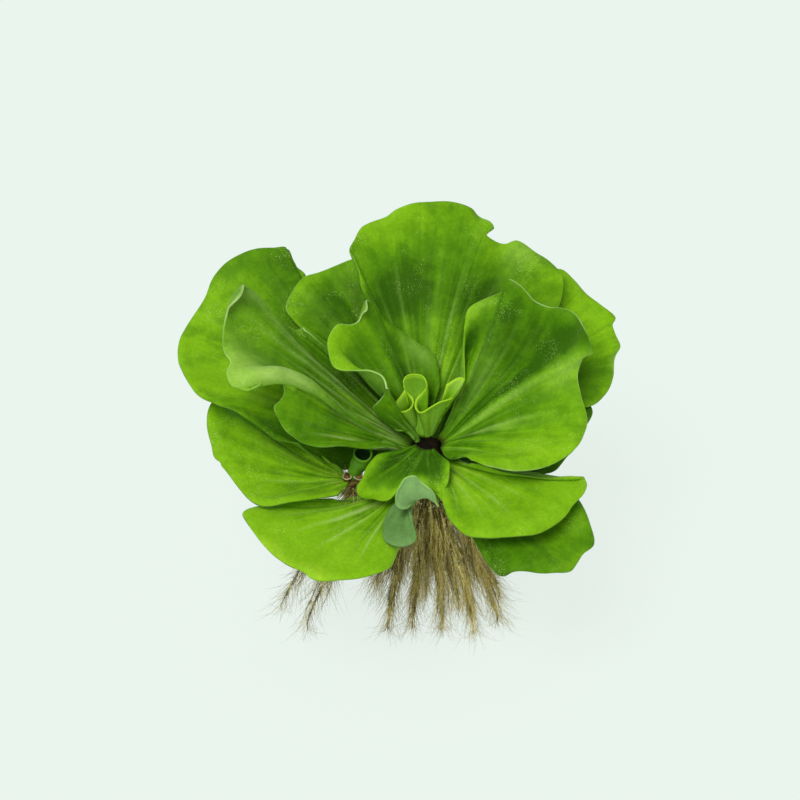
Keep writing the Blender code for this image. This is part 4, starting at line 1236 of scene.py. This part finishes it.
def build_sheath(material):
    """The hollow tube left of a cut leaf: up its outside, over the lip and down its inside."""
    root = np.array([*OFFSET_CENTRE, OFFSET_TOP])
    path, _ = spline_through([root + step for step in SHEATH_LINE], SHEATH_ROWS - 1)
    share = np.linspace(0, 1, SHEATH_ROWS)
    outer = np.interp(share, *SHEATH_RADII)
    side, other = across_frame(path)
    down = slice(None, -SHEATH_INNER_ROWS - 1, -1)
    outside = ring_points(path, side, other, outer, SHEATH_SIDES)
    hollow = ring_points(path[down], side[down], other[down], outer[down] - SHEATH_WALL, SHEATH_SIDES)
    rings = np.vstack([outside, hollow])
    away = unit(rings - rings.mean(axis=1, keepdims=True))
    rings = rings + 0.16 * ripples(rings, 31, 3, 7)[..., None] * away
    near_top = smoothstep(*SHEATH_TOP, rings[..., 2])
    tilt = 0.35 * (rings[..., 1] - root[1]) * near_top
    rings[..., 2] += tilt - 0.6 * near_top
    inner = np.linspace(0, 0.5, SHEATH_INNER_ROWS)
    inside = np.concatenate([np.zeros(SHEATH_ROWS), smoothstep(0, 0.12, inner)])
    lip = np.concatenate([smoothstep(0.94, 1.0, share) * 0.6, [0.7], np.zeros(SHEATH_INNER_ROWS - 1)])
    attributes = {"inside": np.repeat(inside, SHEATH_SIDES), "lip": np.repeat(lip, SHEATH_SIDES)}
    obj = mesh_object("sheath_hollow", rings.reshape(-1, 3), tube_faces(len(rings), SHEATH_SIDES),
                      attributes, material)
    place(obj, "shaded_leaf", "offset_sheath")


def build_loose_fibres(material):
    """Short fibres that stand out from the offset's crown."""
    x, y = OFFSET_CENTRE
    draw = np.random.default_rng(17)
    turn = np.radians(draw.uniform(90, 290, LOOSE_FIBRES))
    out = np.stack([np.cos(turn), np.sin(turn), draw.uniform(-0.5, 0.9, LOOSE_FIBRES)], axis=1)
    spots = np.array([x, y, 66.0]) + out * np.array([3.0, 3.0, 2.5])
    reach = draw.uniform(3, 11, LOOSE_FIBRES)
    points, faces, tip = hairs(spots, unit(out), reach, 0.4, 0.07, draw, 0)
    pale = draw.uniform(size=LOOSE_FIBRES) < 0.35
    tone = np.where(pale, 1.7, draw.uniform(0.1, 0.9, LOOSE_FIBRES))
    attributes = {"tone": np.repeat(tone, HAIR_POINTS), "tip": tip * 0.3, "glint": tip * 0}
    place(mesh_object("offset_fibres", points, faces, attributes, material), "root_fibre")


def build_stolon(material):
    """The runner from the crown to the offset, which sags a little."""
    x, y = OFFSET_CENTRE
    start = np.array([-CROWN_RADIUS - 0.2, -0.5, 63.4])
    end = np.array([x + OFFSET_RADIUS - 0.4, y + 2.0, 64.8])
    sag = (start + end) / 2 - np.array([0, 0, 2.0])
    runner = arc_between(start, sag, end, 40)
    thick = STOLON_RADIUS * (1 + 0.18 * ripples(runner, 3, 2, 6))
    points, faces = sweep(runner, thick, 14)
    place(mesh_object("stolon_lumpy", points, faces, {}, material), "crown_tissue", "stolon")


def build_stubs(bark, rind):
    """The stubs of cut leaf stalks on the offset, each with a pale rim round its cut."""
    for number, (spot, radius, rise) in enumerate(STUBS):
        spot = np.array(spot, float)
        foot = spot - np.array([0, -1.6, rise])
        stub = foot + np.linspace(0, 1, STUB_RINGS)[:, None] * (spot - foot)
        points, faces = sweep(stub, np.linspace(radius * 1.25, radius * 0.9, STUB_RINGS), 18)
        place(mesh_object(f"stub_{number}", points, faces, {}, bark), "crown_tissue")
        ring = scar_ring(spot, unit(spot - foot), radius, number)
        place(mesh_object(f"stub_rim_{number}", *ring, {}, rind), "crown_tissue")


def scar_ring(centre, axis, radius, seed):
    """Points and faces of a slightly uneven ring round the axis."""
    side = unit(np.cross(axis, np.array([0.0, 1.0, 0.3])))
    turn = full_turn(SCAR_SAMPLES)
    wavy = radius * (1 + 0.08 * np.sin(3 * turn + seed) + 0.05 * np.sin(5 * turn))
    spine = centre + wavy[:, None] * swung(turn[:, None], side, np.cross(axis, side))
    around = full_turn(SCAR_SIDES)[None, :, None]
    rings = spine[:, None] + SCAR_THICKNESS * swung(around, unit(spine - centre)[:, None], axis)
    index = np.arange(SCAR_SAMPLES * SCAR_SIDES).reshape(SCAR_SAMPLES, SCAR_SIDES)
    after, beside = np.roll(index, -1, axis=0), np.roll(index, -1, axis=1)
    quads = np.stack([index, after, np.roll(after, -1, axis=1), beside], axis=-1).reshape(-1, 4)
    return rings.reshape(-1, 3), quads.tolist()


# ---------------------------------------------------------------- stage

def build_floor():
    g = Graph("floor")
    shade = g.step(g.noise(g.position(), 3, 2), 0.3, 0.7, 0.998, 1.002)
    color = g.mix(1.0, FLOOR_COLOR, g.vector(shade, shade, shade), "MULTIPLY")
    g.finish(color, 1.0, Specular_IOR_Level=0.0, Emission_Color=(*FLOOR_GLOW, 1.0), Emission_Strength=1.0)
    corners = FLOOR_HALF * np.array([(-1, -1, 0), (1, -1, 0), (1, 1, 0), (-1, 1, 0)])
    floor = mesh_object("floor", corners, [(0, 1, 2, 3)], {}, g.material)


def build_light():
    world = bpy.data.worlds.new("studio")
    world.use_nodes = True
    sky = world.node_tree.nodes["Background"].inputs
    sky["Color"].default_value = (*WORLD_COLOR, 1.0)
    sky["Strength"].default_value = WORLD_STRENGTH
    bpy.context.scene.world = world
    name, azimuth, elevation, power, spread = SUN
    data = bpy.data.lights.new(name, "SUN")
    data.energy = power
    data.angle = math.radians(spread)
    lamp = add_object(name, data)
    lamp.rotation_euler = (math.radians(90 - elevation), 0, math.radians(azimuth))


def build_camera():
    """The camera, at CAMERA_DISTANCE from its target on the plant's front side."""
    camera = bpy.data.cameras.new("camera")
    camera.lens = CAMERA_LENS
    camera.sensor_width = CAMERA_SENSOR
    eye = add_object("camera", camera)
    down = math.radians(CAMERA_ELEVATION)
    target = np.array(CAMERA_TARGET)
    eye.location = (target + CAMERA_DISTANCE * np.array([0, -math.cos(down), math.sin(down)])) * MM
    eye.rotation_euler = (math.pi / 2 - down, 0, 0)
    bpy.context.scene.camera = eye


def leaf_slot(name):
    if name in UNDERSIDES:
        return "leaf_underside"
    return "shaded_leaf" if name in SHADED else "fresh_leaf"


def main():
    bpy.context.scene.view_settings.view_transform = "Standard"
    build_floor()
    build_light()
    build_camera()
    for seed, (name, leaf) in enumerate(LEAVES.items(), LEAF_SEED):
        place(build_leaf(name + "_blade", leaf, LOOKS[name], seed), leaf_slot(name), name)
    fibre = root_material("root_fibre", ROOT_DARK, ROOT_LIGHT)
    thin_fibre = root_material("offset_fibre", THIN_ROOT_DARK, THIN_ROOT_LIGHT)
    plants = ((MAIN_ROOTS, (0.0, 0.0), CROWN_BOTTOM, fibre, False),
              (OFFSET_ROOTS, OFFSET_CENTRE, OFFSET_BOTTOM, thin_fibre, True))
    seed = ROOT_SEED
    for roots, centre, top, material, thin in plants:
        for name, root in roots.items():
            build_root(name, centre, top, root, seed, material, thin)
            seed += 1
    bark = brown_material("crown_tissue", CROWN_DARK, CROWN_LIGHT)
    offset_bark = brown_material("offset_tissue", OFFSET_DARK, OFFSET_LIGHT)
    crown = turned("crown_lumpy", CROWN_PROFILE, (0.0, 0.0), sides=48, lumps=0.35, seed=7, material=bark)
    place(crown, "crown_tissue", "crown")
    offset = turned("offset_lumpy", OFFSET_PROFILE, OFFSET_CENTRE, sides=32, lumps=0.45, seed=21,
                    material=offset_bark)
    place(offset, "crown_tissue", "offset_crown")
    build_loose_fibres(fibre)
    build_stolon(offset_bark)
    build_stubs(offset_bark, brown_material("cut_rim", CUT_DARK, CUT_LIGHT))
    build_sheath(sheath_material("sheath"))


main()
